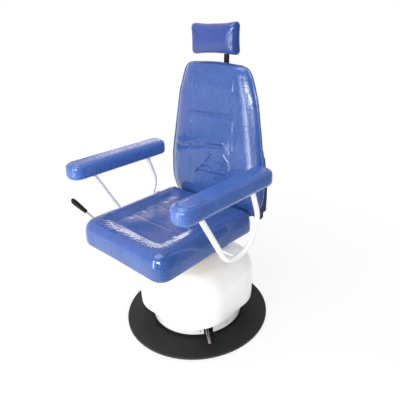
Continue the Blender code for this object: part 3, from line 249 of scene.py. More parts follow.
bpy.ops.mesh.primitive_cube_add(size=1.0, location=(shroud_low + shroud_high) / 2)
shroud_shell = bpy.context.object
shroud_shell.name = "shroud_moulding"
shroud_shell.scale = shroud_high - shroud_low
bpy.ops.object.transform_apply(location=True, rotation=True, scale=True)
bpy.ops.object.mode_set(mode="EDIT")
choose(shroud_shell, "edges", lambda e: abs(e.verts[0].co.z - e.verts[1].co.z) > 0.01)
bpy.ops.mesh.bevel(offset=shroud_corner, offset_type="OFFSET", segments=18, affect="EDGES")
choose(shroud_shell, "faces", lambda f: f.normal.z < -0.9)
bpy.ops.mesh.delete(type="FACE")
choose(shroud_shell, "edges", lambda e: all(v.co.z > shroud_high.z - 0.001 for v in e.verts))
bpy.ops.mesh.bevel(offset=shroud_shoulder, offset_type="OFFSET", segments=14, affect="EDGES")
choose(shroud_shell, "edges", lambda e: all(v.co.z < shroud_low.z + 0.001 for v in e.verts))
bpy.ops.transform.resize(value=(foot_share, foot_share, 1.0), center_override=foot_middle)
bpy.ops.mesh.extrude_edges_move(TRANSFORM_OT_translate={"value": (0, 0, 0)})
bpy.ops.transform.resize(value=(lip_share, lip_share, 1.0), center_override=foot_middle)
bpy.ops.mesh.extrude_edges_move(TRANSFORM_OT_translate={"value": (0, 0, lip_height)})
choose(shroud_shell, "faces", lambda f: True)
bpy.ops.mesh.normals_make_consistent(inside=False)
bpy.ops.object.mode_set(mode="OBJECT")


def apply_step(piece, kind, **settings):
    """Add a modifier, set it and apply it."""
    bpy.ops.object.select_all(action="DESELECT")
    piece.select_set(True)
    bpy.context.view_layer.objects.active = piece
    step = piece.modifiers.new(kind.lower(), kind)
    for key, value in settings.items():
        setattr(step, key, value)
    bpy.ops.object.modifier_apply(modifier=step.name)


apply_step(shroud_shell, "SOLIDIFY", thickness=shroud_wall, offset=-1.0)
bpy.ops.object.shade_smooth_by_angle(angle=radians(35))
apply_step(shroud_shell, "WEIGHTED_NORMAL", keep_sharp=True)
shroud_shell.data.materials.append(shroud_gloss)
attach(shroud_shell, "seat")
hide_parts("shroud")

# Riser channels, seat plate and arm loops
# Folded and bent steel in the same white gloss powder coat, welded together and to the turntable.
# The loops are bent from round tube and carry the armrests.
dress(white_coat, "riser_channel_left", "riser_channel_right", "seat_plate", "arm_loop_left",
      "arm_loop_right")
dress(plain_steel, "arm_strap_left", "arm_strap_right")


# Seat board
# A sheet of birch plywood under the seat cushion, cut with round corners and left unpainted.
# Only its edge shows, as thin light and dark layers.
def plywood():
    made = bpy.data.materials.new("birch_plywood")
    made.use_nodes = True
    tree = made.node_tree
    shader = tree.nodes["Principled BSDF"]
    place = wire(tree, "ShaderNodeTexCoord").outputs["Object"]
    long = wire(tree, "ShaderNodeMapping", Vector=place, Scale=(6.0, 90.0, 90.0)).outputs[0]
    grain = wire(tree, "ShaderNodeTexNoise", Vector=long, Scale=1.0, Detail=6.0,
                 Distortion=0.6).outputs["Fac"]
    layers = wire(tree, "ShaderNodeTexWave", set_bands_direction="Z", Vector=place, Scale=190.0,
                  Distortion=0.4).outputs["Fac"]
    layer_share = 0.35
    tint = maths(tree, "MULTIPLY_ADD", layers, layer_share, grain)
    ramp = tree.nodes.new("ShaderNodeValToRGB")
    dark, pale = ramp.color_ramp.elements
    dark.position = 0.35
    dark.color = (0.30, 0.20, 0.11, 1)
    pale.position = 0.85
    pale.color = (0.62, 0.50, 0.34, 1)
    tree.links.new(tint, ramp.inputs[0])
    relief = wire(tree, "ShaderNodeBump", Strength=0.3, Distance=0.0003, Height=grain)
    tree.links.new(ramp.outputs[0], shader.inputs["Base Color"])
    tree.links.new(relief.outputs[0], shader.inputs["Normal"])
    shader.inputs["Roughness"].default_value = 0.6
    return made


dress(plywood(), "seat_board")


# Seat cushion
# Moulded foam under glossy blue vinyl: a fat round bolster along the front and sides, a lower panel
# inside it, and faint seams across the panel. The vinyl is rumpled round the front corners, drawn
# down over the edge of the board and stapled under it.
def vinyl_group():
    """Blue vinyl: cloudy colour, pebbled grain, fine stretch lines, rubbed patches and painted shade
    along the marked seams.
    """
    group = bpy.data.node_groups.new("vinyl_skin", "ShaderNodeTree")
    socket_in(group, "NodeSocketColor", "Colour", (0.06, 0.14, 0.50, 1))
    socket_in(group, "NodeSocketColor", "Rubbed Colour", (0.14, 0.22, 0.56, 1))
    socket_in(group, "NodeSocketFloat", "Roughness", 0.25)
    socket_in(group, "NodeSocketFloat", "Seam", 0.0)
    socket_out(group, "NodeSocketColor", "Colour")
    socket_out(group, "NodeSocketFloat", "Roughness")
    socket_out(group, "NodeSocketFloat", "Height")
    came = group.nodes.new("NodeGroupInput").outputs
    place = wire(group, "ShaderNodeTexCoord").outputs["Object"]
    fleck_share = 0.5
    speck_contrast = 1.6
    seam_painted_shade = 0.25
    line_height = 1.4
    dullness = 0.10
    cloud = wire(group, "ShaderNodeTexNoise", Vector=place, Scale=9.0, Detail=5.0,
                 Roughness=0.6).outputs["Fac"]
    fleck = wire(group, "ShaderNodeTexNoise", Vector=place, Scale=160.0, Detail=3.0).outputs["Fac"]
    blend = maths(group, "MULTIPLY_ADD", fleck, fleck_share, cloud)
    rubbed = wire(group, "ShaderNodeMapRange", Value=blend, From_Min=0.60, From_Max=1.10).outputs[0]
    tint = wire(group, "ShaderNodeMix", set_data_type="RGBA", i0=rubbed)
    group.links.new(came["Colour"], tint.inputs[6])
    group.links.new(came["Rubbed Colour"], tint.inputs[7])
    speck = wire(group, "ShaderNodeTexNoise", Vector=place, Scale=320.0, Detail=2.0).outputs["Fac"]
    shade = maths(group, "MULTIPLY_ADD", speck, speck_contrast, 1 - speck_contrast / 2)
    # Painted shade: the colour is darkened along the marked seams, where shade lies in the pressed
    # grooves.
    shade = maths(group, "MULTIPLY_ADD", came["Seam"], -seam_painted_shade, shade)
    shaded = wire(group, "ShaderNodeVectorMath", set_operation="SCALE", i0=tint.outputs[2])
    group.links.new(shade, shaded.inputs["Scale"])
    pebble = wire(group, "ShaderNodeTexVoronoi", Vector=place, Scale=620.0).outputs["Distance"]
    warp = wire(group, "ShaderNodeMapping", Vector=place, Rotation=(0.5, 0.4, 0.6),
                Scale=(40.0, 130.0, 90.0)).outputs[0]
    lines = wire(group, "ShaderNodeTexNoise", Vector=warp, Scale=1.0, Detail=4.0,
                 Distortion=1.2).outputs["Fac"]
    high = maths(group, "MULTIPLY_ADD", lines, line_height, pebble)
    gloss = maths(group, "MULTIPLY_ADD", rubbed, dullness, came["Roughness"])
    gloss = maths(group, "MULTIPLY_ADD", fleck, dullness, gloss)
    leaves = group.nodes.new("NodeGroupOutput").inputs
    group.links.new(shaded.outputs[0], leaves["Colour"])
    group.links.new(gloss, leaves["Roughness"])
    group.links.new(high, leaves["Height"])
    return group


vinyl_skin = vinyl_group()


def vinyl(name, colour=(0.030, 0.078, 0.272), rubbed=(0.047, 0.110, 0.345), roughness=0.20,
          coat=0.5, specular=0.6, grain=0.55):
    """Blue vinyl for one cushion, with its own gloss and depth of grain. Its colour is set per
    cushion, and on some cushions it is painted lighter or darker as light and shade.
    """
    made = bpy.data.materials.new(name)
    made.use_nodes = True
    tree = made.node_tree
    shader = tree.nodes["Principled BSDF"]
    shader.inputs["Coat Weight"].default_value = coat
    shader.inputs["Coat Roughness"].default_value = 0.14
    shader.inputs["Specular IOR Level"].default_value = specular
    skin = tree.nodes.new("ShaderNodeGroup")
    skin.node_tree = vinyl_skin
    skin.inputs["Colour"].default_value = (*colour, 1)
    skin.inputs["Rubbed Colour"].default_value = (*rubbed, 1)
    skin.inputs["Roughness"].default_value = roughness
    # The seam mark carries the painted shade of the seam grooves into the colour.
    seam = tree.nodes.new("ShaderNodeAttribute")
    seam.attribute_name = "seam"
    tree.links.new(seam.outputs["Fac"], skin.inputs["Seam"])
    relief = wire(tree, "ShaderNodeBump", Strength=grain, Distance=0.0004,
                  Height=skin.outputs["Height"])
    tree.links.new(skin.outputs["Colour"], shader.inputs["Base Color"])
    tree.links.new(skin.outputs["Roughness"], shader.inputs["Roughness"])
    tree.links.new(relief.outputs[0], shader.inputs["Normal"])
    return made


def corners_of(piece):
    places = np.empty(len(piece.data.vertices) * 3)
    piece.data.vertices.foreach_get("co", places)
    return places.reshape(-1, 3)


def set_corners(piece, places):
    piece.data.vertices.foreach_set("co", places.ravel())
    piece.data.update()


def normals_of(piece):
    ways = np.empty(len(piece.data.vertices) * 3, np.float32)
    piece.data.vertex_normals.foreach_get("vector", ways)
    return ways.reshape(-1, 3).astype(float)


def cover_from(node, name, voxel, shrink):
    """A closed skin of the foam's form, a little smaller, ready to be stuffed."""
    bpy.ops.object.select_all(action="DESELECT")
    skin = bpy.data.objects.new(name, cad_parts[node].data.copy())
    bpy.context.collection.objects.link(skin)
    shaped = bmesh.new()
    shaped.from_mesh(skin.data)
    bmesh.ops.remove_doubles(shaped, verts=shaped.verts, dist=0.00002)
    shaped.to_mesh(skin.data)
    shaped.free()
    skin.data.materials.clear()
    apply_step(skin, "REMESH", mode="VOXEL", voxel_size=voxel, use_smooth_shade=True)
    apply_step(skin, "SMOOTH", factor=0.5, iterations=6)
    set_corners(skin, corners_of(skin) - normals_of(skin) * shrink)
    return skin


def stuff(skin, pressure, cap, held):
    """Blow the skin up as cloth. Points in held stay still, and none moves further than the cap."""
    before = corners_of(skin)
    group = skin.vertex_groups.new(name="held")
    for k in np.nonzero(held > 0.5)[0]:
        group.add([int(k)], 1.0, "REPLACE")
    bpy.ops.object.select_all(action="DESELECT")
    skin.select_set(True)
    bpy.context.view_layer.objects.active = skin
    step = skin.modifiers.new("stuffing", "CLOTH")
    cloth = step.settings
    cloth.quality = 4
    cloth.mass = 0.3
    cloth.tension_stiffness = 12
    cloth.compression_stiffness = 12
    cloth.shear_stiffness = 5
    cloth.bending_stiffness = 0.5
    cloth.use_pressure = True
    cloth.uniform_pressure_force = pressure
    cloth.vertex_group_mass = "held"
    cloth.effector_weights.gravity = 0
    scene = bpy.context.scene
    last_frame = 20
    scene.frame_set(1)
    for k in range(1, last_frame + 1):
        scene.frame_set(k)
    bpy.ops.object.modifier_apply(modifier=step.name)
    scene.frame_set(1)
    moved = corners_of(skin) - before
    length = np.linalg.norm(moved, axis=1, keepdims=True)
    set_corners(skin, before + moved * np.minimum(1.0, cap / np.maximum(length, 1e-9)))


def fill_out(skin, node, axes, proud=0.0):
    """Stretch the skin along the given axes until it fills the foam's size."""
    places = corners_of(skin)
    target_low, target_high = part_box(node)
    for axis in axes:
        low = places[:, axis].min()
        high = places[:, axis].max()
        share = (places[:, axis] - low) / (high - low)
        span = target_high[axis] - target_low[axis] + 2 * proud
        places[:, axis] = target_low[axis] - proud + share * span
    set_corners(skin, places)


def along(points, line):
    """Distance of each point from a line of points."""
    line = np.array(line, float)
    least = np.full(len(points), 1e9)
    for a, b in zip(line, line[1:]):
        run = b - a
        t = np.clip(((points - a) @ run) / max(run @ run, 1e-12), 0, 1)
        least = np.minimum(least, np.linalg.norm(points - a - t[:, None] * run, axis=1))
    return least


def press(skin, flat, lines, width, depth, facing, mark=True):
    """Press sewn lines into the skin. flat holds each corner's place in the plane of the lines."""
    places = corners_of(skin)
    near = np.min([along(flat, line) for line in lines], axis=0)
    ways = normals_of(skin)
    side = np.clip((ways @ facing - 0.15) / 0.35, 0, 1)
    fall = np.exp(-(near / width) ** 2) * side
    set_corners(skin, places - ways * (depth * fall)[:, None])
    # The marked lines are darkened in the vinyl's colour, as painted shade in the seam grooves.
    if mark:
        old = skin.data.attributes.get("seam")
        values = np.zeros(len(places), np.float32)
        if old is None:
            old = skin.data.attributes.new("seam", "FLOAT", "POINT")
        else:
            old.data.foreach_get("value", values)
        values = np.maximum(values, np.exp(-(near / (width * 0.45)) ** 2) * side)
        old.data.foreach_set("value", values.astype(np.float32))


def rumple(skin, flat, weight, scale, depth, seed, stretch=(1.0, 1.0)):
    """Soft folds in the skin from layered noise, where weight lets them be."""
    places = corners_of(skin)
    ways = normals_of(skin)
    across, down = stretch
    high = np.array([noise.fractal((a * scale * across, b * scale * down, seed), 0.6, 2.0, 3)
                     if w > 0.001 else 0.0 for (a, b), w in zip(flat, weight)])
    set_corners(skin, places + ways * (high * depth * weight)[:, None])


def round_inside(flat, low, high, corner):
    """How far inside a rectangle with round corners each place lies."""
    middle = (np.array(low) + np.array(high)) / 2
    half = (np.array(high) - np.array(low)) / 2
    reach = np.abs(flat - middle) - half + corner
    beyond = np.linalg.norm(np.maximum(reach, 0), axis=1)
    return -(beyond + np.minimum(reach.max(axis=1), 0) - corner)


def smooth_step(value, low, high):
    t = np.clip((value - low) / (high - low), 0, 1)
    return t * t * (3 - 2 * t)


def refine(skin, node, smoothing, share, softening=8):
    """Even out the stuffed skin, refine it for seams and draw it back towards the foam's form."""
    apply_step(skin, "SMOOTH", factor=0.5, iterations=smoothing)
    apply_step(skin, "SUBSURF", levels=1, render_levels=1)
    puffed = corners_of(skin)
    apply_step(skin, "SHRINKWRAP", target=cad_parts[node], wrap_method="NEAREST_SURFACEPOINT")
    set_corners(skin, puffed + share * (corners_of(skin) - puffed))
    apply_step(skin, "SMOOTH", factor=0.5, iterations=softening)


def finish_pad(skin, made, body, node):
    """Dress a stuffed cover and let it ride its body in place of the plain cushion."""
    skin.data.shade_smooth()
    skin.data.materials.append(made)
    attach(skin, body)
    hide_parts(node)


up = np.array((0.0, 0.0, 1.0))
seat_low, seat_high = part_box("seat_cushion")
seat_vinyl = vinyl("blue_vinyl_seat", roughness=0.07, grain=0.30)
seat_pad = cover_from("seat_cushion", "seat_upholstery", voxel=0.006, shrink=0.004)
places = corners_of(seat_pad)
stapled_height = 0.012
stapled = places[:, 2] < seat_low.z + stapled_height
stuff(seat_pad, pressure=9.0, cap=0.006, held=stapled.astype(float))
refine(seat_pad, "seat_cushion", smoothing=8, share=0.85, softening=34)
fill_out(seat_pad, "seat_cushion", (0, 1, 2), proud=0.0006)
places = corners_of(seat_pad)
flat = places[:, :2].copy()
top_now = smooth_step(places[:, 2], seat_low.z + 0.062, seat_low.z + 0.080)

# The lower panel: how far inside the bolster's ridge each place lies, a bowl that fades out towards
# the backrest, and an even floor.
bowl = round_inside(flat, (-0.196, -0.392), (0.196, 0.50), corner=0.095)
rear_fade = 1 - smooth_step(flat[:, 1], 0.0, 0.09)
bowl_depth = 0.0110
middle_depth = 0.0015
places[:, 2] -= top_now * rear_fade * bowl_depth * smooth_step(bowl, -0.016, 0.066)
places[:, 2] -= top_now * rear_fade * middle_depth * smooth_step(bowl, 0.03, 0.13)
panel = top_now * smooth_step(bowl, 0.050, 0.095)
even_share = 0.9
powers = [(i, j) for i in (0, 2, 4) for j in range(5)]
terms = np.stack([flat[:, 0] ** i * flat[:, 1] ** j for i, j in powers], axis=1)
inner = panel > 0.5
even = terms @ np.linalg.lstsq(terms[inner], places[inner, 2], rcond=None)[0]
places[:, 2] += even_share * panel * np.where(panel > 0, even - places[:, 2], 0)

# The hem, drawn down over the edge of the board. Inside it the cover stays clear of the board.
hem_height = seat_low.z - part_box("seat_board")[0].z
board_gap = 0.0004
hem_overlap = 0.0010
inside = round_inside(flat, (seat_low.x, seat_low.y), (seat_high.x, seat_high.y), corner=0.055)
hem = 1 - smooth_step(inside, 0.018, 0.026)
drawn_down = 1 - smooth_step(places[:, 2], seat_low.z + 0.004, seat_low.z + 0.050)
places[:, 2] -= hem_height * hem * drawn_down
lowest = seat_low.z + board_gap - (hem_height + hem_overlap) * hem
places[:, 2] = np.maximum(places[:, 2], lowest)
set_corners(seat_pad, places)

# The seam round the panel, two seams across it, and a slight swell between them.
panel_x = 0.150
panel_front = -0.305
panel_rear = 0.085
seam_bend = 0.055
turns = [pi + pi / 2 * k / 10 for k in range(11)]
right_side = [(panel_x, panel_rear)]
for turn in turns:
    right_side.append((panel_x - seam_bend - seam_bend * cos(turn),
                       panel_front + seam_bend + seam_bend * sin(turn)))
u_seam = right_side + [(-x, y) for x, y in reversed(right_side)]
cross_seams = [[(-0.148, -0.216), (0.0, -0.223), (0.148, -0.216)],
               [(-0.148, -0.095), (0.0, -0.101), (0.148, -0.095)]]
press(seat_pad, flat, [u_seam], width=0.0038, depth=0.0006, facing=up, mark=False)
press(seat_pad, flat, cross_seams, width=0.0036, depth=0.0006, facing=up)
places = corners_of(seat_pad)
panel_middle = np.exp(-(flat[:, 0] / 0.13) ** 2) * smooth_step(bowl, 0.04, 0.08)
swell = 0.0005
for low_y, high_y in ((-0.299, -0.223), (-0.216, -0.101), (-0.095, 0.07)):
    bulge = np.clip((flat[:, 1] - low_y) / (high_y - low_y), 0, 1)
    places[:, 2] += swell * np.sin(bulge * pi) * panel_middle * top_now
set_corners(seat_pad, places)

# Small rumples round the front of the bolster, broad slack on the top and light drag on the sides.
fan = np.exp(-((bowl - 0.022) / 0.026) ** 2) * smooth_step(-flat[:, 1], 0.20, 0.30) * top_now
rumple(seat_pad, flat, fan, scale=85.0, depth=0.0014, seed=3.1)
rumple(seat_pad, flat, top_now * 0.8, scale=11.0, depth=0.0005, seed=7.7)
side_middle = 0.03
side_wall = 1 - smooth_step(np.abs(places[:, 2] - seat_low.z - side_middle), 0.02, 0.045)
round_the_side = np.stack([flat[:, 0] + flat[:, 1], places[:, 2]], axis=1)
rumple(seat_pad, round_the_side, side_wall, scale=20.0, depth=0.0004, seed=1.3, stretch=(1.0, 0.35))
finish_pad(seat_pad, seat_vinyl, "seat", "seat_cushion")

# Arm pads
# A long foam bar on each arm loop, wrapped in the same vinyl. A welt runs round the top panel,
# and the ends are gathered where the side strip is drawn round them.
# The same vinyl, painted lighter here as the light that falls on the arm pads.
arm_vinyl_painted_light = vinyl("blue_vinyl_arms_painted_light", colour=(0.044, 0.110, 0.365), rubbed=(0.064, 0.148, 0.45),
                  roughness=0.14)
welt_inset = 0.0165
welt_end_inset = 0.0170
welt_width = 0.0030
welt_height = 0.0017
groove_offset = 0.007
groove_depth = 0.0008
for side in ("left", "right"):
    node = "arm_pad_" + side
    arm_low, arm_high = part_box(node)
    arm_pad = cover_from(node, "arm_upholstery_" + side, voxel=0.005, shrink=0.0022)
    underside = corners_of(arm_pad)[:, 2] < arm_low.z + 0.004
    stuff(arm_pad, pressure=9.0, cap=0.0035, held=underside.astype(float))
    refine(arm_pad, node, smoothing=6, share=0.9)
    fill_out(arm_pad, node, (0, 1, 2), proud=0.0004)
    places = corners_of(arm_pad)
    places[:, 2] = np.maximum(places[:, 2], arm_low.z + 0.0003)
    set_corners(arm_pad, places)
    flat = places[:, :2].copy()
    half_x = (arm_high.x - arm_low.x) / 2 - welt_inset
    mid_x = (arm_high.x + arm_low.x) / 2
    mid_y = (arm_low.y + arm_high.y) / 2
    ring = []
    for centre_y, start in ((arm_high.y - welt_end_inset - half_x, 0.0),
                            (arm_low.y + welt_end_inset + half_x, pi)):
        turns = [start + pi * k / 12 for k in range(13)]
        ring += [(mid_x + half_x * cos(t), centre_y + half_x * sin(t)) for t in turns]
    ring.append(ring[0])
    near_ring = along(flat, ring)
    ways = normals_of(arm_pad)
    facing_up = np.clip((ways @ up - 0.15) / 0.35, 0, 1)
    welt = welt_height * np.exp(-(near_ring / welt_width) ** 2)
    welt -= groove_depth * np.exp(-((near_ring - groove_offset) / welt_width) ** 2)
    set_corners(arm_pad, places + ways * (welt * facing_up)[:, None])
    ends = smooth_step(np.abs(flat[:, 1] - mid_y), 0.19, 0.24) * (1 - facing_up)
    turn = np.arctan2(flat[:, 1], flat[:, 0] - mid_x)
    gathers = np.stack([turn * 0.12, places[:, 2] * 0.25], axis=1)
    rumple(arm_pad, gathers, ends, scale=110.0, depth=0.0006, seed=2.0)
    everywhere = np.ones(len(flat))
    rumple(arm_pad, flat, everywhere, scale=12.0, depth=0.0006, seed=5.0, stretch=(1.0, 0.5))
    finish_pad(arm_pad, arm_vinyl_painted_light, "seat", node)

# Hinge of the backrest
# Two flat steel arms under the seat carry a shaft, and ears under the back shell turn on it.
# All are painted matt black, with the paint rubbed through at the edges.
hinge_black = finish("hinge_matt_black", (0.016, 0.016, 0.017), (0.11, 0.11, 0.11), 0.46,
                     tone=0.3, scuffs=0.25, peel=700.0, bump=0.4)
dress(hinge_black, "hinge_arm_left", "hinge_arm_right", "hinge_shaft", "hinge_ear_left",
      "hinge_ear_right")

# Recline lever
# A bent bright steel rod at the sitter's right turns in a bracket under the seat board.
# Its flat grip is moulded in satin black, with a hole and a finger notch near its end.
lever_chrome = finish("lever_rod_steel", (0.60, 0.60, 0.61), (0.40, 0.40, 0.40), 0.24,
                      metallic=1.0, tone=0.15, scuffs=0.4, peel=700.0, bump=0.2)
grip_black = finish("lever_grip_black", (0.008, 0.008, 0.009), (0.04, 0.04, 0.04), 0.38,
                    tone=0.25, scuffs=0.25, peel=1100.0, bump=0.5, specular=0.08)
dress(lever_chrome, "lever_rod", "lever_pin")
dress(plain_steel, "lever_bracket")
dress(grip_black, "lever_grip")

# Back shell
# The board behind the back cushion, deep at the bottom and thin above, covered in the same vinyl.
# The vinyl is sewn along its rear edges and pulled in under the cushion.
hinge_place = np.array((0.0, 0.1618, 0.512))
back_lean = radians(3.2)
back_rear = np.array((0.0, cos(back_lean), -sin(back_lean)))
back_up = np.array((0.0, sin(back_lean), cos(back_lean)))


def on_back(places):
    """Places measured on the back: across, and up from the hinge."""
    return np.stack([places[:, 0], (places - hinge_place) @ back_up], axis=1)


def behind_hinge(places):
    """How far each place lies behind the hinge, square to the back."""
    return (places - hinge_place) @ back_rear


# The same vinyl, painted far darker here as the shade that falls on the shell behind the arm and
# back.
shell_vinyl_painted_shade = vinyl("blue_vinyl_shell_painted_shade", colour=(0.009, 0.024, 0.105), rubbed=(0.014, 0.036, 0.14),
                    roughness=0.40, coat=0.0, specular=0.25)
shell_pad = cover_from("back_shell", "back_shell_cover", voxel=0.006, shrink=0.0012)
under_cushion = behind_hinge(corners_of(shell_pad)) < -0.004
stuff(shell_pad, pressure=4.0, cap=0.0022, held=under_cushion.astype(float))
refine(shell_pad, "back_shell", smoothing=4, share=0.85)
fill_out(shell_pad, "back_shell", (0, 2))
places = corners_of(shell_pad)
rear_face = smooth_step(behind_hinge(places), -0.006, 0.002)
rumple(shell_pad, on_back(places), rear_face, scale=11.0, depth=0.0009, seed=4.4)
finish_pad(shell_pad, shell_vinyl_painted_shade, "backrest", "back_shell")

# Back cushion
# Foam under the same vinyl: broad side bolsters that fall away towards the edge, and an insert
# between them, with a seam across and a padded roll for the small of the back. The lower part is
# creased by use.
back_vinyl = vinyl("blue_vinyl_back", roughness=0.10, grain=0.42)
back_pad = cover_from("back_cushion", "back_upholstery", voxel=0.006, shrink=0.004)
against_shell = behind_hinge(corners_of(back_pad)) > -0.016
stuff(back_pad, pressure=9.0, cap=0.007, held=against_shell.astype(float))
refine(back_pad, "back_cushion", smoothing=16, share=0.85, softening=20)
fill_out(back_pad, "back_cushion", (0, 2), proud=0.001)
places = corners_of(back_pad)
rear_limit = 0.0112
places -= np.maximum(0, behind_hinge(places) + rear_limit)[:, None] * back_rear
set_corners(back_pad, places)
flat = on_back(places)
front = -back_rear
face = smooth_step(-behind_hinge(places), 0.030, 0.046)
left_seam = [(-0.150, 0.070), (-0.168, 0.150), (-0.1685, 0.2325), (-0.156, 0.330),
             (-0.130, 0.4214), (-0.118, 0.55)]
right_seam = [(0.112, 0.075), (0.1077, 0.190), (0.104, 0.2875), (0.103, 0.335), (0.0965, 0.394),
              (0.108, 0.459), (0.134, 0.523)]
cross_seam = [(-0.130, 0.4214), (-0.008, 0.4275), (0.101, 0.4345)]
press(back_pad, flat, [cross_seam], width=0.0060, depth=0.0024, facing=front)
press(back_pad, flat, [right_seam], width=0.0045, depth=0.0009, facing=front)
press(back_pad, flat, [left_seam], width=0.0060, depth=0.0004, facing=front, mark=False)
places = corners_of(back_pad)
ways = normals_of(back_pad)


def fold(line, width, height):
    """A soft ridge, or a valley where the height is below zero, along a line on the back."""
    return np.exp(-(along(flat, line) / width) ** 2) * height


# The bolsters' front falls away towards the edge, by a share of how near the edge each place is.
edge_fall = 0.0200
edge_reach = 0.090
levels = np.arange(0.03, 0.60, 0.02)
half_width = [np.abs(flat[np.abs(flat[:, 1] - level) < 0.012, 0]).max() for level in levels]
from_edge = np.interp(flat[:, 1], levels, half_width) - np.abs(flat[:, 0])
places += back_rear * (edge_fall * face * np.clip(1 - from_edge / edge_reach, 0, 1) ** 2)[:, None]

# The padded roll, and the folds: line on the back, width and height of each.
roll_height = 0.0045
across = 1 - smooth_step(np.abs(flat[:, 0] + 0.03), 0.10, 0.135)
roll = smooth_step(flat[:, 1], 0.180, 0.285) * (1 - smooth_step(flat[:, 1], 0.300, 0.345))
shape = roll_height * roll * across
for line, width, height in (
        ([(-0.2085, 0.268), (-0.172, 0.262), (-0.066, 0.294), (0.064, 0.308)], 0.0062, 0.0058),
        ([(-0.19, 0.250), (-0.066, 0.278), (0.064, 0.292)], 0.0080, -0.0022),
        ([(0.002, 0.255), (-0.046, 0.196), (-0.100, 0.148)], 0.0050, 0.0030),
        ([(-0.090, 0.162), (-0.003, 0.168), (0.075, 0.176)], 0.0050, 0.0024),
        ([(-0.040, 0.196), (0.024, 0.182), (0.060, 0.192)], 0.0045, 0.0017),
        ([(0.060, 0.265), (0.098, 0.225), (0.104, 0.190)], 0.0050, 0.0017),
        ([(0.150, 0.350), (0.128, 0.270), (0.124, 0.200)], 0.0060, 0.0013),
        ([(-0.241, 0.168), (-0.232, 0.200), (-0.212, 0.222)], 0.0060, 0.0017)):
    shape += fold(line, width, height)
set_corners(back_pad, places + ways * (shape * face)[:, None])
insert = face * (1 - smooth_step(np.abs(flat[:, 0] + 0.02), 0.09, 0.14))
creased = insert * (1 - smooth_step(flat[:, 1], 0.22, 0.36))
bolster = face * smooth_step(flat[:, 0], 0.10, 0.15)
rumple(back_pad, flat, creased, scale=22.0, depth=0.0010, seed=9.2, stretch=(0.7, 1.2))
rumple(back_pad, flat, insert, scale=9.0, depth=0.0007, seed=2.6)
rumple(back_pad, flat, bolster, scale=70.0, depth=0.00035, seed=6.1, stretch=(0.5, 1.6))
finish_pad(back_pad, back_vinyl, "backrest", "back_cushion")

# Headrest guide, clamp knob and post
# A flat black steel post slides in a moulded guide on the back shell.
# A lobed knob on a screw holds it at its height.
guide_black = finish("guide_moulded_black", (0.015, 0.015, 0.016), (0.05, 0.05, 0.05), 0.42,
                     tone=0.2, scuffs=0.2, peel=1000.0, bump=0.5)
post_black = finish("post_black_enamel", (0.014, 0.014, 0.015), (0.16, 0.16, 0.16), 0.30,
                    tone=0.2, scuffs=0.45, peel=500.0, bump=0.25)
dress(guide_black, "headrest_guide", "clamp_knob", "headrest_board")
dress(post_black, "headrest_post", "tilt_bracket")
dress(screw_steel, "tilt_pin")

# Headrest cushion
# A small pillow of foam in the same vinyl, crowned in the middle, drawn in between its corners and
# sewn a little askew. Its edge seam is hidden at the back where it meets the board.
# The same vinyl, painted darker here as shade on the headrest.
head_vinyl_painted_shade = vinyl("blue_vinyl_headrest_painted_shade", colour=(0.018, 0.052, 0.235), rubbed=(0.028, 0.070, 0.285),
                   roughness=0.15)
head_low, head_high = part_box("headrest_cushion")
head_pad = cover_from("headrest_cushion", "headrest_upholstery", voxel=0.0045, shrink=0.003)
against_board = corners_of(head_pad)[:, 1] > head_high.y - 0.006
stuff(head_pad, pressure=9.0, cap=0.0055, held=against_board.astype(float))
refine(head_pad, "headrest_cushion", smoothing=10, share=0.85)
fill_out(head_pad, "headrest_cushion", (0, 1, 2), proud=0.0006)
corner_lift = 0.0020
skew = 0.0042
waist = 0.0008
crown_height = 0.0050
places = corners_of(head_pad)
places[:, 1] = np.minimum(places[:, 1], head_high.y - 0.0003)
a = (places[:, 0] - (head_low.x + head_high.x) / 2) / ((head_high.x - head_low.x) / 2)
b = (places[:, 2] - (head_low.z + head_high.z) / 2) / ((head_high.z - head_low.z) / 2)
places[:, 2] += corner_lift * b * (smooth_step(np.abs(a), 0.35, 1.0) - 0.40)
places[:, 2] += skew * a
places[:, 0] -= waist * a * (1 - b * b)
crown = smooth_step(head_high.y - places[:, 1], 0.012, 0.040)
crown = crown_height * crown * (1 - np.clip(np.abs(a), 0, 1) ** 2.4)
places[:, 1] -= crown * (1 - np.clip(np.abs(b), 0, 1) ** 3)
set_corners(head_pad, places)
front_face = smooth_step(-places[:, 1], -head_high.y + 0.01, -head_high.y + 0.02)
rumple(head_pad, places[:, [0, 2]], front_face, scale=18.0, depth=0.0007, seed=8.0)
finish_pad(head_pad, head_vinyl_painted_shade, "headrest", "headrest_cushion")


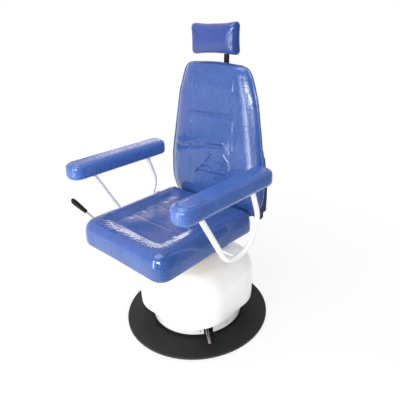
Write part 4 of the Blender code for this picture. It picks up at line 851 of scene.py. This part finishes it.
# Studio
# A pale floor that keeps the chair's shadow, and white all round, which the chair mirrors more dimly
# on one side. Three soft lamps stand in front and overhead, and a fourth behind the chair.
def floor_paint():
    made = bpy.data.materials.new("studio_floor")
    made.use_nodes = True
    tree = made.node_tree
    shader = tree.nodes["Principled BSDF"]
    shader.inputs["Base Color"].default_value = (0.86, 0.86, 0.87, 1)
    shader.inputs["Roughness"].default_value = 0.7
    rays = wire(tree, "ShaderNodeLightPath").outputs
    seen = maths(tree, "MAXIMUM", rays["Is Camera Ray"], rays["Is Glossy Ray"])
    place = wire(tree, "ShaderNodeTexCoord").outputs["Object"]
    far = wire(tree, "ShaderNodeVectorMath", set_operation="LENGTH", i0=place).outputs["Value"]
    share = wire(tree, "ShaderNodeMapRange", Value=far, From_Min=0.6, From_Max=1.6, To_Min=0.80,
                 To_Max=1.0).outputs[0]
    seen = maths(tree, "MULTIPLY", seen, share)
    rightward = wire(tree, "ShaderNodeSeparateXYZ", Vector=place).outputs["X"]
    dim = wire(tree, "ShaderNodeMapRange", Value=rightward, From_Min=0.50, From_Max=1.10,
               To_Min=1.0, To_Max=0.18).outputs[0]
    mirrored = wire(tree, "ShaderNodeMix", set_data_type="FLOAT", i0=rays["Is Glossy Ray"], i2=1.0)
    tree.links.new(dim, mirrored.inputs[3])
    white = wire(tree, "ShaderNodeEmission", Color=(1.0, 1.0, 1.0, 1.0))
    tree.links.new(mirrored.outputs[0], white.inputs["Strength"])
    mixed = wire(tree, "ShaderNodeMixShader", i0=seen, i1=shader.outputs[0], i2=white.outputs[0])
    tree.links.new(mixed.outputs[0], tree.nodes["Material Output"].inputs["Surface"])
    return made


bpy.ops.object.select_all(action="DESELECT")
bpy.ops.mesh.primitive_plane_add(size=14.0, location=(0, 0, -0.0005))
floor = bpy.context.object
floor.name = "studio_floor"
floor.data.materials.append(floor_paint())

world = bpy.data.worlds.new("studio_world")
bpy.context.scene.world = world
world.use_nodes = True
tree = world.node_tree
surround_light = 0.77
bright_side = (-0.93, 0.37, 0.0)
plain_white = (1.0, 1.0, 1.0, 1.0)
mirrored_cast = (1.0, 0.78, 0.82, 1.0)
rays = wire(tree, "ShaderNodeLightPath").outputs
seen = maths(tree, "MAXIMUM", rays["Is Camera Ray"], rays["Is Transmission Ray"])
way = wire(tree, "ShaderNodeTexCoord").outputs["Generated"]
behind = wire(tree, "ShaderNodeVectorMath", set_operation="DOT_PRODUCT", i0=way, i1=bright_side)
paper = wire(tree, "ShaderNodeMapRange", Value=behind.outputs["Value"], From_Min=-0.45, From_Max=0.70,
             To_Min=0.10, To_Max=0.74).outputs[0]
mirrored = maths(tree, "MULTIPLY", rays["Is Glossy Ray"], paper)
unmirrored = maths(tree, "SUBTRACT", 1.0, rays["Is Glossy Ray"])
soft = maths(tree, "MULTIPLY_ADD", unmirrored, surround_light, mirrored)
strength = maths(tree, "MAXIMUM", soft, seen)
sky = tree.nodes["Background"]
cast = wire(tree, "ShaderNodeMix", set_data_type="RGBA", i0=rays["Is Glossy Ray"], i6=plain_white,
            i7=mirrored_cast)
tree.links.new(cast.outputs[2], sky.inputs["Color"])
tree.links.new(strength, sky.inputs["Strength"])


def lamp(name, place, aim, width, height, power, shown=True):
    """A soft rectangular lamp, turned towards the place that it lights."""
    light = bpy.data.lights.new(name, "AREA")
    light.shape = "RECTANGLE"
    light.size = width
    light.size_y = height
    light.energy = power
    made = bpy.data.objects.new(name, light)
    bpy.context.collection.objects.link(made)
    made.visible_camera = shown
    made.location = place
    made.rotation_euler = (Vector(aim) - Vector(place)).to_track_quat("-Z", "Y").to_euler()


lamp("overhead_softbox", (-0.1, -0.9, 2.9), (0.0, -0.1, 0.5), 1.6, 1.8, 24.0)
lamp("tall_window", (-0.20, -1.95, 0.75), (0.1, 0.1, 0.75), 0.18, 1.6, 15.0)
lamp("front_softbox", (0.91, -2.13, 1.40), (0.2, -0.39, 0.55), 1.00, 0.24, 27.0)
lamp("rear_window", (-1.80, 1.16, 0.90), (0.1, -0.3, 0.57), 0.90, 0.70, 4.5, shown=False)

camera_data = bpy.data.cameras.new("photo_camera")
camera = bpy.data.objects.new("photo_camera", camera_data)
bpy.context.collection.objects.link(camera)
camera_x, camera_y, camera_z = 1.2106, -1.1901, 1.3621
picture_size = 400
focal_length = 424.81
centre_x, centre_y = 226.34, 174.38
film_width = 36
yaw = radians(40.58)
pitch = radians(21.35)
roll = radians(-0.56)
forward = Vector((-sin(yaw) * cos(pitch), cos(yaw) * cos(pitch), -sin(pitch)))
right = Vector((cos(yaw), sin(yaw), 0))
above = right.cross(forward)
level = right * cos(roll) + above * sin(roll)
upright = -right * sin(roll) + above * cos(roll)
camera.matrix_world = Matrix(((level.x, upright.x, -forward.x, camera_x),
                              (level.y, upright.y, -forward.y, camera_y),
                              (level.z, upright.z, -forward.z, camera_z),
                              (0, 0, 0, 1)))
camera_data.sensor_width = film_width
camera_data.lens = focal_length / picture_size * film_width
camera_data.shift_x = (picture_size / 2 - centre_x) / picture_size
camera_data.shift_y = (centre_y - picture_size / 2) / picture_size
bpy.context.scene.camera = camera
bpy.context.scene.view_settings.view_transform = "Standard"
